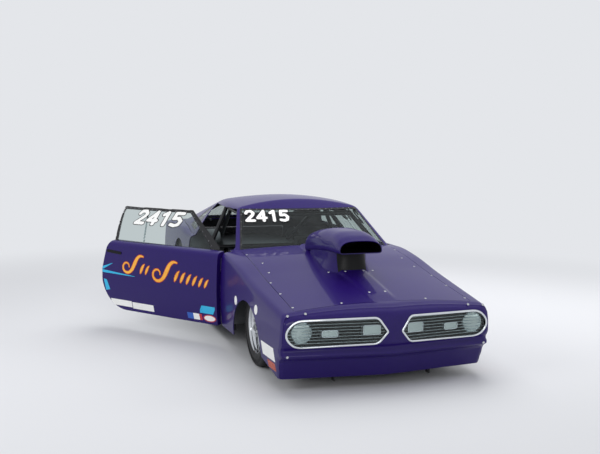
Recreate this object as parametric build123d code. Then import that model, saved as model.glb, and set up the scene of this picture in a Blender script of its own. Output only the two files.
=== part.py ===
from build123d import *
import os
from math import atan2, cos, radians, sin, sqrt

os.makedirs("parts", exist_ok=True)

# A two-door fastback coupe built for drag racing: a moulded body over a tube chassis.
# Millimetres. +Z up, forward is -Y, +X is the car's left. The origin is on the floor,
# on the centre line, half-way between the axles.

# Axles and wheels
wheelbase = 2743.0
front_axle_y = -wheelbase / 2
rear_axle_y = wheelbase / 2
front_tyre_radius = 305.0
front_tyre_width = 115.0
front_track_half = 722.0
front_rim_radius = 196.0
rear_tyre_radius = 381.0
rear_tyre_width = 350.0
rear_track_half = 655.0
rear_rim_radius = 196.0
rim_wall = 6.0
bearing_clearance = 0.05

# Body shell
skin = 6.0
panel_gap = 10.0
widest_half = 884.0
widest_y = 150.0
plan_radius = 43200.0
tuck_under = 30.0
shoulder_inset = 12.0
shoulder_radius = 45.0
underside_z = 60.0

# Nose
nose_tip_y = -2286.0
nose_sweep = 0.11
grille_centre_z = 425.0
grille_top_z = 526.0
grille_bottom_z = 330.0
grille_tip_x = 54.0
grille_inner_x = 125.0
grille_outer_x = 722.0
grille_end_x = 787.0
grille_depth = 90.0
headlamp_x = 672.0
headlamp_z = 434.0
headlamp_radius = 79.0

# Panels that lift off or open
hood_half = 705.0
hood_front_y = -2120.0
hood_rear_y = -690.0
door_front_y = -614.0
door_rear_y = 810.0
door_rear_z = 541.0
door_bottom_z = 170.0
door_curve_y = 500.0
door_belt_y = 706.0
door_thickness = 50.0
door_open_angle = 36.6
door_hinge_ahead = 70.0
door_hinge_inset = 24.0
deck_front_y = 1975.0
deck_rear_y = 2490.0
deck_half = 640.0
deck_gap = 12.0

# Wheel openings
front_arch_radius = 370.0
front_arch_z = 150.0
rear_arch_radius = 430.0
rear_arch_z = 280.0

# Chassis
rail_x = 380.0
rail_z = 150.0
rail_kick_z = 545.0
rail_tail_z = 330.0
rail_tube = 25.0
seat_gap = 0.3
floor_z = rail_z + rail_tube + seat_gap
floor_thick = 4.0
floor_half = 760.0
cage_tube = 21.0
kingpin_x = 610.0


def half_width(y):
    """Half the body's width at a station: one shallow arc in plan."""
    return widest_half - (y - widest_y) ** 2 / (2 * plan_radius)


# Body stations: y, shoulder height, rise of the centre line above the shoulder
body_stations = (
    (-2340.0, 530.0, 42.0),
    (-1371.5, 683.0, 62.0),
    (-900.0, 773.0, 51.0),
    (-607.0, 804.0, 45.0),
    (800.0, 813.0, 45.0),
    (1371.5, 842.0, 45.0),
    (2100.0, 832.0, 40.0),
    (2640.0, 792.0, 26.0),
)


def body_section(y, shoulder_z, crown, inset):
    """One closed cross-section of the lower body, moved inwards by inset."""
    half = half_width(y) - inset
    low = underside_z - 4 * inset
    side_top = shoulder_z - shoulder_radius
    wide_z = low + 0.6 * (shoulder_z - low)
    top = shoulder_z - inset
    points = {}
    for side in (1, -1):
        points[side] = (
            (side * (half - tuck_under), low),
            (side * half, wide_z),
            (side * (half - shoulder_inset), side_top),
            (side * (half - shoulder_inset - 0.3 * shoulder_radius), top - 0.27 * shoulder_radius),
            (side * (half - shoulder_inset - shoulder_radius), top + 2),
        )
    plane = Plane(origin=(0, y, 0), x_dir=(1, 0, 0), z_dir=(0, -1, 0))
    right, left = points[1], points[-1]
    edges = [
        Line(left[0], right[0]),
        ThreePointArc(right[0], right[1], right[2]),
        ThreePointArc(right[2], right[3], right[4]),
        ThreePointArc(right[4], (0, top + crown), left[4]),
        ThreePointArc(left[4], left[3], left[2]),
        ThreePointArc(left[2], left[1], left[0]),
    ]
    return plane * make_face(edges)


def side_prism(points, x_from, x_to):
    """A prism of a side-view outline (y, z), from one x to another."""
    face = Plane.YZ * make_face(Polyline(*points, close=True))
    return Pos(x_from, 0, 0) * extrude(face, x_to - x_from)


def front_prism(points, y_from, y_to):
    """A prism of a front-view outline (x, z), from one y to another."""
    plane = Plane(origin=(0, y_from, 0), x_dir=(1, 0, 0), z_dir=(0, -1, 0))
    return extrude(plane * make_face(Polyline(*points, close=True)), -(y_to - y_from))


def slab(x0, x1, y0, y1, z0, z1):
    """An upright box between two corners."""
    return Pos((x0 + x1) / 2, (y0 + y1) / 2, (z0 + z1) / 2) * Box(x1 - x0, y1 - y0, z1 - z0)


def mirrored(shape):
    """The same piece on the other side of the car."""
    return mirror(shape, about=Plane.YZ)


def nose_keep(side, inset):
    """Everything behind one half of the nose: its side profile run along that half's sweep."""
    lean = 1 / sqrt(1 + nose_sweep ** 2)
    profile = (
        # distance behind the foremost line, height: valance, lip, grille zone, hood edge
        (92.0, 84.0), (50.0, 250.0), (24.0, 282.0), (34.0, 311.0), (4.0, 345.0), (0.0, 425.0),
        (4.0, 500.0), (28.0, 556.0), (62.0, 590.0), (120.0, 640.0), (120.0, 1400.0),
        (6000.0, 1400.0), (6000.0, -300.0), (92.0, -300.0),
    )
    outline = [(distance + (inset if distance < 5000 else 0), z) for distance, z in profile]
    along = Vector(lean, side * nose_sweep * lean, 0)
    plane = Plane(origin=(0, nose_tip_y, 0), x_dir=(-along.Y, along.X, 0), z_dir=along)
    return extrude(plane * make_face(Polyline(*outline, close=True)), 3500, both=True)


# Lower edge of the body in side view: y, z
lower_edge = (
    (-2600.0, 84.0), (-2060.0, 88.0), (-1735.0, 170.0), (door_front_y, 168.0),
    (door_rear_y, 168.0), (1820.0, 200.0), (2300.0, 250.0), (2560.0, 330.0), (2760.0, 400.0),
)


def lower_body(inset):
    """The closed form of the body below the glass, moved inwards by inset."""
    form = loft([body_section(*row, inset) for row in body_stations], ruled=True)
    form = form & nose_keep(1, inset) & nose_keep(-1, inset)
    tail = [(2594.0, 300.0), (2600.0, 470.0), (2570.0, 640.0), (2530.0, 1200.0)]
    tail = [(y - inset, z) for y, z in tail]
    keep = side_prism(tail + [(-3000, 1200), (-3000, -300), (2594.0 - inset, -300)], -1000, 1000)
    form = form & keep
    if inset == 0:
        above = [(-2600.0, 1300.0)] + list(lower_edge) + [(2760.0, 1300.0)]
        form = form & side_prism(above, -1000, 1000)
    return form


# Plan of the cabin at two heights: z, front centre y, front corner y, half-widths at the
# front corner, the middle and the rear corner, rear corner y, rear centre y
cabin_plan = (
    (800.0, -700.0, -607.0, 745.0, 828.0, 700.0, 2200.0, 2262.0),
    (1150.0, -185.0, -117.0, 592.0, 604.0, 530.0, 850.0, 880.0),
)
roof_stations = (
    # y, half-width, edge height, centre height
    (-260.0, 640.0, 1122.0, 1206.0),
    (300.0, 640.0, 1158.0, 1237.0),
    (1000.0, 640.0, 1132.0, 1192.0),
)


def cabin_outline(z, inset):
    """Plan outline of the cabin at a height, by straight lines between the two known ones."""
    low, high = cabin_plan
    share = (z - low[0]) / (high[0] - low[0])
    front_c, front_y, front_x, mid_x, rear_x, rear_y, rear_c = [
        a + share * (b - a) for a, b in zip(low[1:], high[1:])]
    front_slope = inset * 1.5
    front_c, front_y = front_c + front_slope, front_y + front_slope
    rear_c, rear_y = rear_c - inset * 3.5, rear_y - inset * 3.5
    front_x, mid_x, rear_x = [x - inset * 1.2 for x in (front_x, mid_x, rear_x)]
    mid_y = (front_y + rear_y) / 2
    edges = [
        ThreePointArc((-front_x, front_y), (0, front_c), (front_x, front_y)),
        ThreePointArc((front_x, front_y), (mid_x, mid_y), (rear_x, rear_y)),
        ThreePointArc((rear_x, rear_y), (0, rear_c), (-rear_x, rear_y)),
        ThreePointArc((-rear_x, rear_y), (-mid_x, mid_y), (-front_x, front_y)),
    ]
    return Pos(0, 0, z) * make_face(edges)


def roof_section(y, half, edge_z, centre_z, inset):
    """Cross-section under the roof's crown."""
    plane = Plane(origin=(0, y, 0), x_dir=(1, 0, 0), z_dir=(0, -1, 0))
    top = ThreePointArc((-half, edge_z - inset), (0, centre_z - inset), (half, edge_z - inset))
    edge = edge_z - inset
    sides = Polyline((half, edge), (1000, edge), (1000, 500), (-1000, 500), (-1000, edge), (-half, edge))
    return plane * make_face([top, sides])


def cabin(inset):
    """The closed form of the cabin above the belt, moved inwards by inset."""
    walls = loft([cabin_outline(z, inset) for z in (700.0, 1280.0)], ruled=True)
    crown = loft([roof_section(*row, inset) for row in roof_stations])
    ends = roof_stations[0], roof_stations[-1]
    low_front = side_prism(
        ((-900, 500), (roof_stations[0][0], 500), (roof_stations[0][0], ends[0][3] - inset), (-900, 900)),
        -1000, 1000)
    low_rear = side_prism(
        ((ends[1][0], 500), (2500, 500), (2500, 760), (ends[1][0], ends[1][3] - inset)), -1000, 1000)
    return walls & (crown + low_front + low_rear)


parts = {}

body_outer = lower_body(0)
body_inner = lower_body(skin)
cabin_outer = cabin(0)
cabin_inner = cabin(skin)
shell = body_outer - body_inner
cabin_hole = extrude(cabin_outline(830.0, skin), 300, both=True)
cabin_hole = cabin_hole & slab(-900, 900, -900, deck_front_y - 30, 600, 1200)
shell = shell - (cabin_hole & slab(-900, 900, -640, 2000, 500, 1200))

# Openings cut through both sides
front_arch = Pos(0, front_axle_y, front_arch_z) * Rot(0, 90, 0) * Cylinder(front_arch_radius, 2000)
rear_arch = Pos(0, rear_axle_y, rear_arch_z) * Rot(0, 90, 0) * Cylinder(rear_arch_radius, 2000)
shell = shell - front_arch - rear_arch


def door_prism(grow, x_from, x_to):
    """Side-view outline of a door, grown by a gap, as a prism from one x to another."""
    front, low, rear = door_front_y - grow, door_bottom_z - grow, door_rear_y + grow
    bend = door_curve_y, low
    waist = rear, door_rear_z
    corner = door_rear_y - 54 + grow, 748.0
    belt = door_belt_y + grow, 822.0
    edges = [
        Polyline(waist, corner, belt, (belt[0], 960.0), (front, 960.0), (front, low), bend),
        ThreePointArc(bend, (745.0 + 0.8 * grow, 290.0 - 0.6 * grow), waist),
    ]
    return Pos(x_from, 0, 0) * extrude(Plane.YZ * make_face(edges), x_to - x_from)


def grille_outline(side, grow):
    """Front-view outline of one grille opening: six sides with a point at each end."""
    points = (
        (grille_tip_x - grow, grille_centre_z), (grille_inner_x - grow, grille_top_z + grow),
        (grille_outer_x + grow, grille_top_z - 5 + grow), (grille_end_x + grow, grille_centre_z + 30),
        (grille_end_x + grow, grille_centre_z - 30), (grille_outer_x + grow, grille_bottom_z - grow),
        (grille_inner_x - grow, grille_bottom_z + 10 - grow),
    )
    return [(side * x, z) for x, z in points]


# Front end: fenders, nose and valance, moulded in one piece
front_end = shell & slab(-1000, 1000, -2500, door_front_y - panel_gap, 0, 1200)
hood_cut = slab(-hood_half, hood_half, hood_front_y, hood_rear_y, 400, 1200)
front_end = front_end - hood_cut
for side in (1, -1):
    front_end = front_end - front_prism(grille_outline(side, 0), -2400, -2000)
front_end = front_end - slab(-hood_half, hood_half, hood_rear_y - 1, -500, 600, 1200)
parts["front_end"] = front_end

# Hood: a lift-off panel held by quarter-turn fasteners, with a raised middle under the scoop
hood_gap = 4.0
hood_room = slab(-hood_half + hood_gap, hood_half - hood_gap, hood_front_y + hood_gap,
                 hood_rear_y - seat_gap, 400, 1200)
raise_foot = 60.0
raise_depth = 36.0
raise_stations = (
    # y, half-width of the raised top, height of the body's centre line, rise above it
    (-2100.0, 105.0, 615.0, 2.0),
    (-1960.0, 125.0, 640.0, 18.0),
    (-1371.5, 205.0, 745.0, 24.0),
    (-900.0, 262.0, 824.0, 24.0),
    (-640.0, 275.0, 846.0, 24.0),
)


def raised_middle(inset):
    """The closed form under the hood's raised middle, moved inwards by inset."""
    sections = []
    for y, half, centre_z, rise in raise_stations:
        plane = Plane(origin=(0, y, 0), x_dir=(1, 0, 0), z_dir=(0, -1, 0))
        top, low = centre_z + rise - inset, centre_z - raise_depth - inset
        near, far = half - inset, half + raise_foot - inset
        edges = [
            ThreePointArc((-near, top - 6), (0, top), (near, top - 6)),
            Polyline((near, top - 6), (far, low), (-far, low), (-near, top - 6)),
        ]
        sections.append(plane * make_face(edges))
    return loft(sections, ruled=True)


raised_outer = raised_middle(0)
raised_shell = (raised_outer - body_outer) - raised_middle(skin)
hood_skin = (shell & hood_room) - (raised_middle(skin) & hood_room)
parts["hood"] = hood_skin + (raised_shell & hood_room)

# Cowl between the hood and the windscreen
cowl_room = slab(-hood_half + seat_gap, hood_half - seat_gap, hood_rear_y, -540, 600, 1200)
cowl_room += slab(-770, 770, door_front_y - panel_gap + seat_gap, -540, 600, 1200)
parts["cowl"] = shell & cowl_room

# Hood scoop: a hollow shell with a flat floor and an arched mouth, on a pedestal that flares out
# into the hood's raised middle
scoop_wall = 6.0
scoop_corner = 14.0
scoop_stations = (
    # y, half-width, floor z, top z
    (-1640.0, 180.0, 896.0, 998.0),
    (-1560.0, 184.0, 892.0, 1034.0),
    (-1420.0, 181.0, 888.0, 1058.0),
    (-1230.0, 170.0, 880.0, 1062.0),
    (-1000.0, 144.0, 868.0, 1024.0),
    (-770.0, 104.0, 854.0, 928.0),
)
pedestal_levels = (
    # z, half-width, front y, rear y
    (700.0, 186.0, -1452.0, -720.0),
    (760.0, 142.0, -1438.0, -752.0),
    (820.0, 120.0, -1425.0, -775.0),
    (905.0, 108.0, -1412.0, -800.0),
)


def scoop_section(y, half, low, top, inset):
    """Section of the scoop: flat floor with small corners, rounded shoulders and a shallow arch."""
    plane = Plane(origin=(0, y, 0), x_dir=(1, 0, 0), z_dir=(0, -1, 0))
    wide, z0, z1 = half - inset, low + inset, top - inset
    corner = scoop_corner - inset / 2
    tall = z1 - z0
    foot, side = (wide - corner, z0), (wide, z0 + corner)
    heel = (wide - 0.29 * corner, z0 + 0.29 * corner)
    shoulder, brow = (0.93 * wide, z0 + 0.66 * tall), (0.68 * wide, z0 + 0.91 * tall)
    edges = [Line((-foot[0], z0), foot), ThreePointArc((-brow[0], brow[1]), (0, z1), brow)]
    for hand in (1, -1):
        a, b, c, d, e = [(hand * x, z) for x, z in (foot, heel, side, shoulder, brow)]
        edges += [ThreePointArc(a, b, c), ThreePointArc(c, d, e)]
    return plane * make_face(edges)


def pedestal_outline(z, half, front_y, rear_y):
    """Plan outline of the scoop's pedestal at one height, with rounded ends."""
    front, rear, bulge = front_y + 0.3 * half, rear_y - 0.5 * half, 0.75 * half
    edges = [
        Polyline((-bulge, front_y), (bulge, front_y)),
        ThreePointArc((bulge, front_y), (0.93 * half, front_y + 0.07 * half), (half, front)),
        Line((half, front), (half, rear)),
        ThreePointArc((half, rear), (0, rear_y), (-half, rear)),
        Line((-half, rear), (-half, front)),
        ThreePointArc((-half, front), (-0.93 * half, front_y + 0.07 * half), (-bulge, front_y)),
    ]
    return Pos(0, 0, z) * make_face(edges)


scoop_outer = loft([scoop_section(*row, 0) for row in scoop_stations], ruled=True)
scoop_inner = loft([scoop_section(*row, scoop_wall) for row in scoop_stations[:5]], ruled=True)
pedestal = loft([pedestal_outline(*row) for row in pedestal_levels], ruled=True)
scoop = (scoop_outer + pedestal) - scoop_inner - body_outer - raised_outer
parts["hood_scoop"] = max(scoop.solids(), key=lambda solid: solid.volume)

# Roof with its pillars and sail panels, and the glass that it carries
screen_outline = ((-700.0, 800.0), (-575.0, 1142.0), (575.0, 1142.0), (700.0, 800.0))
side_glass_outline = ((-430.0, 800.0), (-70.0, 1110.0), (760.0, 1104.0), (640.0, 800.0))
side_frame_outline = ((-535.0, 790.0), (-535.0, 826.0), (-105.0, 1130.0), (802.0, 1124.0), (684.0, 790.0))
quarter_glass_outline = ((850.0, 850.0), (850.0, 1096.0), (960.0, 1082.0), (1240.0, 900.0), (1240.0, 870.0))
back_outline = ((-560.0, 905.0), (-470.0, 1095.0), (470.0, 1095.0), (560.0, 905.0))
cabin_wall = cabin_outer - cabin_inner
door_top = side_prism(
    ((-543.0, 780.0), (-543.0, 832.0), (-112.0, 1138.0), (812.0, 1132.0), (693.0, 780.0)), -1000, 1000)
cabin_wall = cabin_wall - body_outer
cabin_wall = cabin_wall - front_prism(screen_outline, -900, 40)
cabin_wall = cabin_wall - front_prism(back_outline, 900, 2300)
side_only = slab(-1000, 1000, -700, 1300, 700, 1141)
roof = cabin_wall - (door_top & side_only) - side_prism(quarter_glass_outline, -1000, 1000)
roof = roof & slab(-900, 900, -900, deck_front_y - 40, 795, 1400)
for side in (1, -1):
    x_near, x_far = sorted((side * 770, side * 1000))
    roof -= slab(x_near, x_far, door_front_y - panel_gap, door_belt_y + panel_gap, 700, 832)
parts["roof"] = max(roof.solids(), key=lambda solid: solid.volume)

glass = cabin(1.0) - cabin(5.0)
screen = glass & front_prism(screen_outline, -900, 40)
parts["windscreen"] = screen - body_outer
parts["rear_window"] = (glass & front_prism(back_outline, 900, 2300)) - body_outer


# Windows in the sides: clear sheet held in the door's and the quarter's frame
side_pane = (glass & side_prism(side_glass_outline, 300, 1000)) - body_outer
quarter_pane = (glass & side_prism(quarter_glass_outline, 300, 1000)) - body_outer
parts["quarter_windows"] = quarter_pane + mirrored(quarter_pane)

# Rear quarters, tail panel and deck lid
rear = shell & slab(-1000, 1000, door_curve_y, 2700, 0, 1200)
deck_cut = slab(-deck_half - deck_gap, deck_half + deck_gap, deck_front_y - deck_gap,
                deck_rear_y + deck_gap, 700, 1200)
rear = rear - deck_cut - door_prism(panel_gap, 600, 1000)
quarter = rear & slab(0.15, 1000, 0, 2700, 0, 1200)
quarter = quarter - slab(0, 700, 2520, 2700, 480, 700)
parts["quarter_left"] = max(quarter.solids(), key=lambda solid: solid.volume)
parts["quarter_right"] = mirrored(parts["quarter_left"])
tail_skin = body_outer - body_inner
parts["tail_panel"] = tail_skin & slab(-699.7, 699.7, 2521, 2700, 480.3, 699.7)

hinge_y = deck_front_y
deck_plate = body_outer - lower_body(12.0)
deck_lid = deck_plate & slab(-deck_half, deck_half, deck_front_y + deck_gap, deck_rear_y, 700, 1200)
hinge_z = 868.0
hinge_pin_radius = 3.0
hinge_knuckle_radius = 6.0
for x in (-420.0, 420.0):
    knuckle = Pos(x, hinge_y, hinge_z) * Rot(0, 90, 0) * Cylinder(hinge_knuckle_radius, 50)
    web = slab(x - 25, x + 25, hinge_y, hinge_y + 40, hinge_z - 5, hinge_z + 3)
    bore = Pos(x, hinge_y, hinge_z) * Rot(0, 90, 0) * Cylinder(hinge_pin_radius + bearing_clearance, 80)
    deck_lid = deck_lid + (knuckle + web) - bore
parts["deck_lid"] = deck_lid

# Doors: skin and inner frame in one, with hinge straps that dip inboard round the fender's edge
door_hinge_y = door_front_y - door_hinge_ahead
door_hinge_x = half_width(door_front_y) - door_hinge_inset
hinge_heights = (400.0, 630.0)
door_shell = body_outer - lower_body(door_thickness)
door = door_shell & door_prism(0, 780, 1000)
door = max(door.solids(), key=lambda solid: solid.volume)
strap_path = ((0.0, 0.0), (-62.0, 30.0), (-66.0, 95.0), (-26.0, 140.0))
pin_radius = 5.0
strap_barrel = 9.0
strap_half = 5.0


def strap(z):
    """One gooseneck strap with its barrel, in the closed door's place."""
    bar = Plane.XY.offset(z - 20) * make_face(offset_line(strap_path, strap_half))
    piece = extrude(Pos(door_hinge_x, door_hinge_y, 0) * bar, 40)
    return piece + Pos(door_hinge_x, door_hinge_y, z) * Cylinder(strap_barrel, 40)


def offset_line(points, half):
    """Outline of a flat bar that follows a few straight runs."""
    left, right = [], []
    for index, (x, y) in enumerate(points):
        before = points[max(index - 1, 0)]
        after = points[min(index + 1, len(points) - 1)]
        angle = atan2(after[1] - before[1], after[0] - before[0])
        left.append((x - half * sin(angle), y + half * cos(angle)))
        right.append((x + half * sin(angle), y - half * cos(angle)))
    return Polyline(*left, *reversed(right), close=True)


for z in hinge_heights:
    door = door + strap(z)
    door = door - Pos(door_hinge_x, door_hinge_y, z) * Cylinder(pin_radius + bearing_clearance, 60)
door_glass = side_pane
frame_bar = cabin(0.5) - cabin(9.0)
frame_outer = side_prism(side_frame_outline, 300, 1000)
frame = (frame_bar & frame_outer) - side_prism(side_glass_outline, 300, 1000) - body_outer
frame = max(frame.solids(), key=lambda solid: solid.volume)
parts["door_left"] = door
parts["door_frame_left"] = frame
parts["door_window_left"] = door_glass
open_axis = Axis((-door_hinge_x, door_hinge_y, 0), (0, 0, 1))
parts["door_right"] = mirrored(door).rotate(open_axis, door_open_angle)
parts["door_frame_right"] = mirrored(frame).rotate(open_axis, door_open_angle)
parts["door_window_right"] = mirrored(door_glass).rotate(open_axis, door_open_angle)


# Grilles: a floor with horizontal bars behind each opening, and a clear cover over it
grille_bar = 5.0
grille_bar_pitch = 22.0


def nose_layer(side, ahead, thick):
    """A sheet that follows one half of the nose, a given distance behind its foremost line."""
    lean = 1 / sqrt(1 + nose_sweep ** 2)
    along = Vector(lean, side * nose_sweep * lean, 0)
    plane = Plane(origin=(0, nose_tip_y, 0), x_dir=(-along.Y, along.X, 0), z_dir=along)
    outline = ((ahead, 0), (ahead + thick, 0), (ahead + thick, 800), (ahead, 800))
    return extrude(plane * make_face(Polyline(*outline, close=True)), 3500, both=True)


def grille(side):
    """One grille: rim, back plate and bars as one casting."""
    rim = nose_layer(side, 6, grille_depth - 6)
    outer = front_prism(grille_outline(side, 14), -2400, -2000)
    inner = front_prism(grille_outline(side, 2), -2400, -2000)
    piece = rim & (outer - inner)
    piece = piece + (nose_layer(side, grille_depth - 6, 6) & outer)
    bars = Part()
    for step in range(-4, 5):
        z = grille_centre_z + step * grille_bar_pitch
        bars += slab(-900, 900, -2400, -2000, z - grille_bar / 2, z + grille_bar / 2)
    piece = piece + (nose_layer(side, 55, grille_depth - 58) & bars & outer)
    return piece & body_inner


lamp_y = nose_tip_y + nose_sweep * headlamp_x
lamp = Pos(headlamp_x, lamp_y + 55, headlamp_z) * Rot(90, 0, 0) * Cylinder(headlamp_radius, 60)
lamp_room = Pos(headlamp_x, lamp_y + 60, headlamp_z) * Rot(90, 0, 0) * Cylinder(headlamp_radius + 0.3, 90)
for name, side in (("left", 1), ("right", -1)):
    room = lamp_room if side > 0 else mirrored(lamp_room)
    parts[f"grille_{name}"] = grille(side) - room
covers = Part()
for side in (1, -1):
    covers += front_prism(grille_outline(side, -seat_gap), -2400, -2000) & nose_layer(side, 6, 4)
parts["grille_covers"] = covers
parts["headlamps"] = lamp + mirrored(lamp)


def rod(start, end, radius):
    """A round bar between two points."""
    start, end = Vector(*start), Vector(*end)
    return Plane(origin=start, z_dir=end - start) * extrude_circle(radius, (end - start).length)


def extrude_circle(radius, length):
    """A cylinder standing on its own plane."""
    return extrude(Circle(radius), length)


def bars(runs, radius):
    """Round tube runs joined with balls at their bends."""
    whole = Part()
    for run in runs:
        for start, end in zip(run, run[1:]):
            whole += rod(start, end, radius)
        for point in run[1:-1]:
            whole += Pos(*point) * Sphere(radius)
    return whole


def both_sides(runs):
    """The same tube runs on both sides."""
    return list(runs) + [[(-x, y, z) for x, y, z in run] for run in runs]


# Chassis: two rails, each with a towing eye on a tab at both ends, and the cross members between
rail_runs = [[
    (rail_x, -2050, rail_z), (rail_x, 930, rail_z), (rail_x, 1130, rail_kick_z),
    (rail_x, 1700, rail_kick_z), (rail_x, 1900, rail_tail_z), (rail_x, 2420, rail_tail_z),
]]
link_front_y = 895.0
cross_places = (
    (-2025, rail_z), (-1750, rail_z), (-1010, rail_z), (-560, rail_z), (link_front_y, rail_z),
    (1660, rail_kick_z), (2020, rail_tail_z), (2340, rail_tail_z),
)
cross_runs = [[(-rail_x, y, z), (rail_x, y, z)] for y, z in cross_places]
eye_radius = 12.5
eye_thick = 10.0
tab_half = 26.0
eye_places = (
    # y and z of the eye, z of the rail's centre above it
    (-2060.0, 64.0, rail_z),
    (2440.0, 262.0, rail_tail_z),
)
rails = bars(both_sides(rail_runs), rail_tube)
for x in (-rail_x, rail_x):
    for y, z, top in eye_places:
        rails += slab(x - eye_thick / 2, x + eye_thick / 2, y - tab_half, y + tab_half, z - tab_half, top)
        rails -= Pos(x, y, z) * Rot(0, 90, 0) * Cylinder(eye_radius, 4 * eye_thick)
parts["chassis_rails"] = rails
cross_members = bars(cross_runs, rail_tube) - rails
parts["cross_members"] = cross_members
chassis = rails + cross_members

# Roll cage: main hoop, front legs with halo, door bars, rear braces; feet coped to the rails
hoop_y = 600.0
cage_runs = [
    [(690, hoop_y, floor_z + floor_thick), (660, hoop_y, 780), (520, hoop_y, 1105), (0, hoop_y, 1130)],
    [(700, -520, floor_z + floor_thick), (700, -500, 760), (540, -90, 1080), (505, hoop_y, 1102)],
    [(700, -505, 640), (672, hoop_y, 420)],
    [(700, -515, 330), (676, hoop_y, 700)],
    [(470, hoop_y, 1106), (rail_x, 1640, rail_kick_z)],
]
cage = bars(both_sides(cage_runs), cage_tube)
cage_cross = [[(-540, -90, 1080), (540, -90, 1080)], [(-700, -500, 740), (700, -500, 740)],
              [(-664, hoop_y, 700), (664, hoop_y, 700)]]
cage = cage + bars(cage_cross, cage_tube) - chassis - slab(-900, 900, -700, 900, 0, floor_z + floor_thick)
parts["roll_cage"] = cage

# Sheet-metal floor with a tunnel, firewall and sills
tunnel_half = 150.0
tunnel_top = 430.0
floor_rear_y = 860.0
floor = slab(-floor_half, floor_half, -640, floor_rear_y, floor_z, floor_z + floor_thick)
tunnel = slab(-tunnel_half, tunnel_half, -640, floor_rear_y, floor_z, tunnel_top)
tunnel_room = slab(-tunnel_half + floor_thick, tunnel_half - floor_thick, -700, 1000, 0,
                   tunnel_top - floor_thick)
parts["floor_pan"] = floor + tunnel - tunnel_room
firewall = slab(-floor_half, floor_half, -645, -641, floor_z, 900) & lower_body(skin + seat_gap)
parts["firewall"] = firewall - slab(-260, 260, -700, -600, 0, 640)
rear_floor_z = 660.0
bulkhead = slab(-440, 440, floor_rear_y + seat_gap, floor_rear_y + 4, floor_z, rear_floor_z)
rear_sheet = slab(-440, 440, floor_rear_y + seat_gap, 1940, rear_floor_z, rear_floor_z + floor_thick)
shaft_hole = slab(-tunnel_half, tunnel_half, 800, 900, 0, tunnel_top)

brace_room = bars(both_sides(cage_runs[4:]), cage_tube + 2)
parts["rear_floor"] = bulkhead + rear_sheet - shaft_hole - brace_room
sill = slab(735, 785, -640, 900, 122, floor_z - seat_gap)
parts["sills"] = sill + mirrored(sill)

# Rear wheel tubs, shut on the inner side
tub_radius = 424.0
tub_inner_x = 444.0
tub_x = (tub_inner_x + 866.0) / 2
tub_place = Pos(tub_x, rear_axle_y, rear_tyre_radius) * Rot(0, 90, 0)
tub = tub_place * Cylinder(tub_radius, 2 * (866.0 - tub_x))
tub_room = Pos(floor_thick, 0, 0) * tub_place * Cylinder(tub_radius - floor_thick, 2 * (866.0 - tub_x))
tub = (tub - tub_room) & lower_body(skin + seat_gap)
tub = tub - slab(0, 1000, 800, 2000, -200, 420)
tub = max(tub.solids(), key=lambda solid: solid.volume)
parts["rear_tubs"] = tub + mirrored(tub)

# Engine as one block with its heads and the air box under the scoop, and the gearbox
engine_front_y = -1160.0
engine_rear_y = -660.0
engine = slab(-160, 160, engine_front_y, engine_rear_y, 185, 420)
heads = Part()
for side in (1, -1):
    heads += Pos(side * 190, (engine_front_y + engine_rear_y) / 2, 490) * Rot(0, side * 40, 0) * Box(
        160, 460, 170)
intake = slab(-95, 95, engine_front_y + 40, -760, 400, 700)
motor_plate = slab(-rail_x, rail_x, engine_front_y - 6, engine_front_y, 140, 380)
motor_plate = motor_plate - slab(-300, 300, -1200, -1100, 0, 185)
parts["engine"] = engine + heads + intake + motor_plate - chassis
shaft_z = 292.0
parts["gearbox"] = Pos(0, -312, shaft_z) * Rot(90, 0, 0) * Cone(60, 105, 695)

# Rear axle housing, spool shaft and the wheels that turn with it
housing_radius = 45.0
shaft_radius = 20.0
axle_z = rear_tyre_radius
pumpkin = Pos(0, rear_axle_y, axle_z) * Sphere(125)
housing = Pos(0, rear_axle_y, axle_z) * Rot(0, 90, 0) * Cylinder(housing_radius, 860)
shaft_bore = Pos(0, rear_axle_y, axle_z) * Rot(0, 90, 0) * Cylinder(shaft_radius + bearing_clearance, 1200)
pinion = Pos(0, rear_axle_y - 160, axle_z) * Rot(90, 0, 0) * Cone(35, 70, 160)
parts["rear_axle_housing"] = housing + pumpkin + pinion - shaft_bore
parts["axle_shaft"] = Pos(0, rear_axle_y, axle_z) * Rot(0, 90, 0) * Cylinder(shaft_radius, 1064)
propshaft = rod((0, 36.2, shaft_z), (0, rear_axle_y - 240.3, axle_z), 38)
parts["propshaft"] = propshaft - slab(-200, 200, 1131, 1200, 200, 500) - slab(-200, 200, 0, 36, 200, 500)

# Rear suspension: a ladder bar and a coil-over on each side
ladder_x = 300.0
ladder_tube = 14.0
ladder_half = 90.0
suspension = Part()
for x in (-ladder_x, ladder_x):
    front = (x, link_front_y, rail_z)
    low, high = (x, rear_axle_y, axle_z - ladder_half), (x, rear_axle_y, axle_z + ladder_half)
    link = bars([[high, front, low, high]], ladder_tube) + Pos(*high) * Sphere(ladder_tube)
    damper = rod((x, rear_axle_y + 60, axle_z - 60), (x, 1655, rail_kick_z), 28)
    suspension += link + damper
parts["rear_suspension"] = suspension - housing - pumpkin - chassis


def tyre(radius, width, rim_radius, centre):
    """A tyre with rounded shoulders and a bead opening."""
    half = width / 2
    edges = Polyline(
        (rim_radius, -half + 12), (rim_radius + 25, -half), (radius - 45, -half), (radius - 12, -half + 14),
        (radius, -half + 34), (radius, half - 34), (radius - 12, half - 14), (radius - 45, half),
        (rim_radius + 25, half), (rim_radius, half - 12), close=True)
    ring = revolve(Plane.XZ * make_face(edges), Axis.Z)
    return Pos(*centre) * Rot(0, 90, 0) * ring


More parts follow.
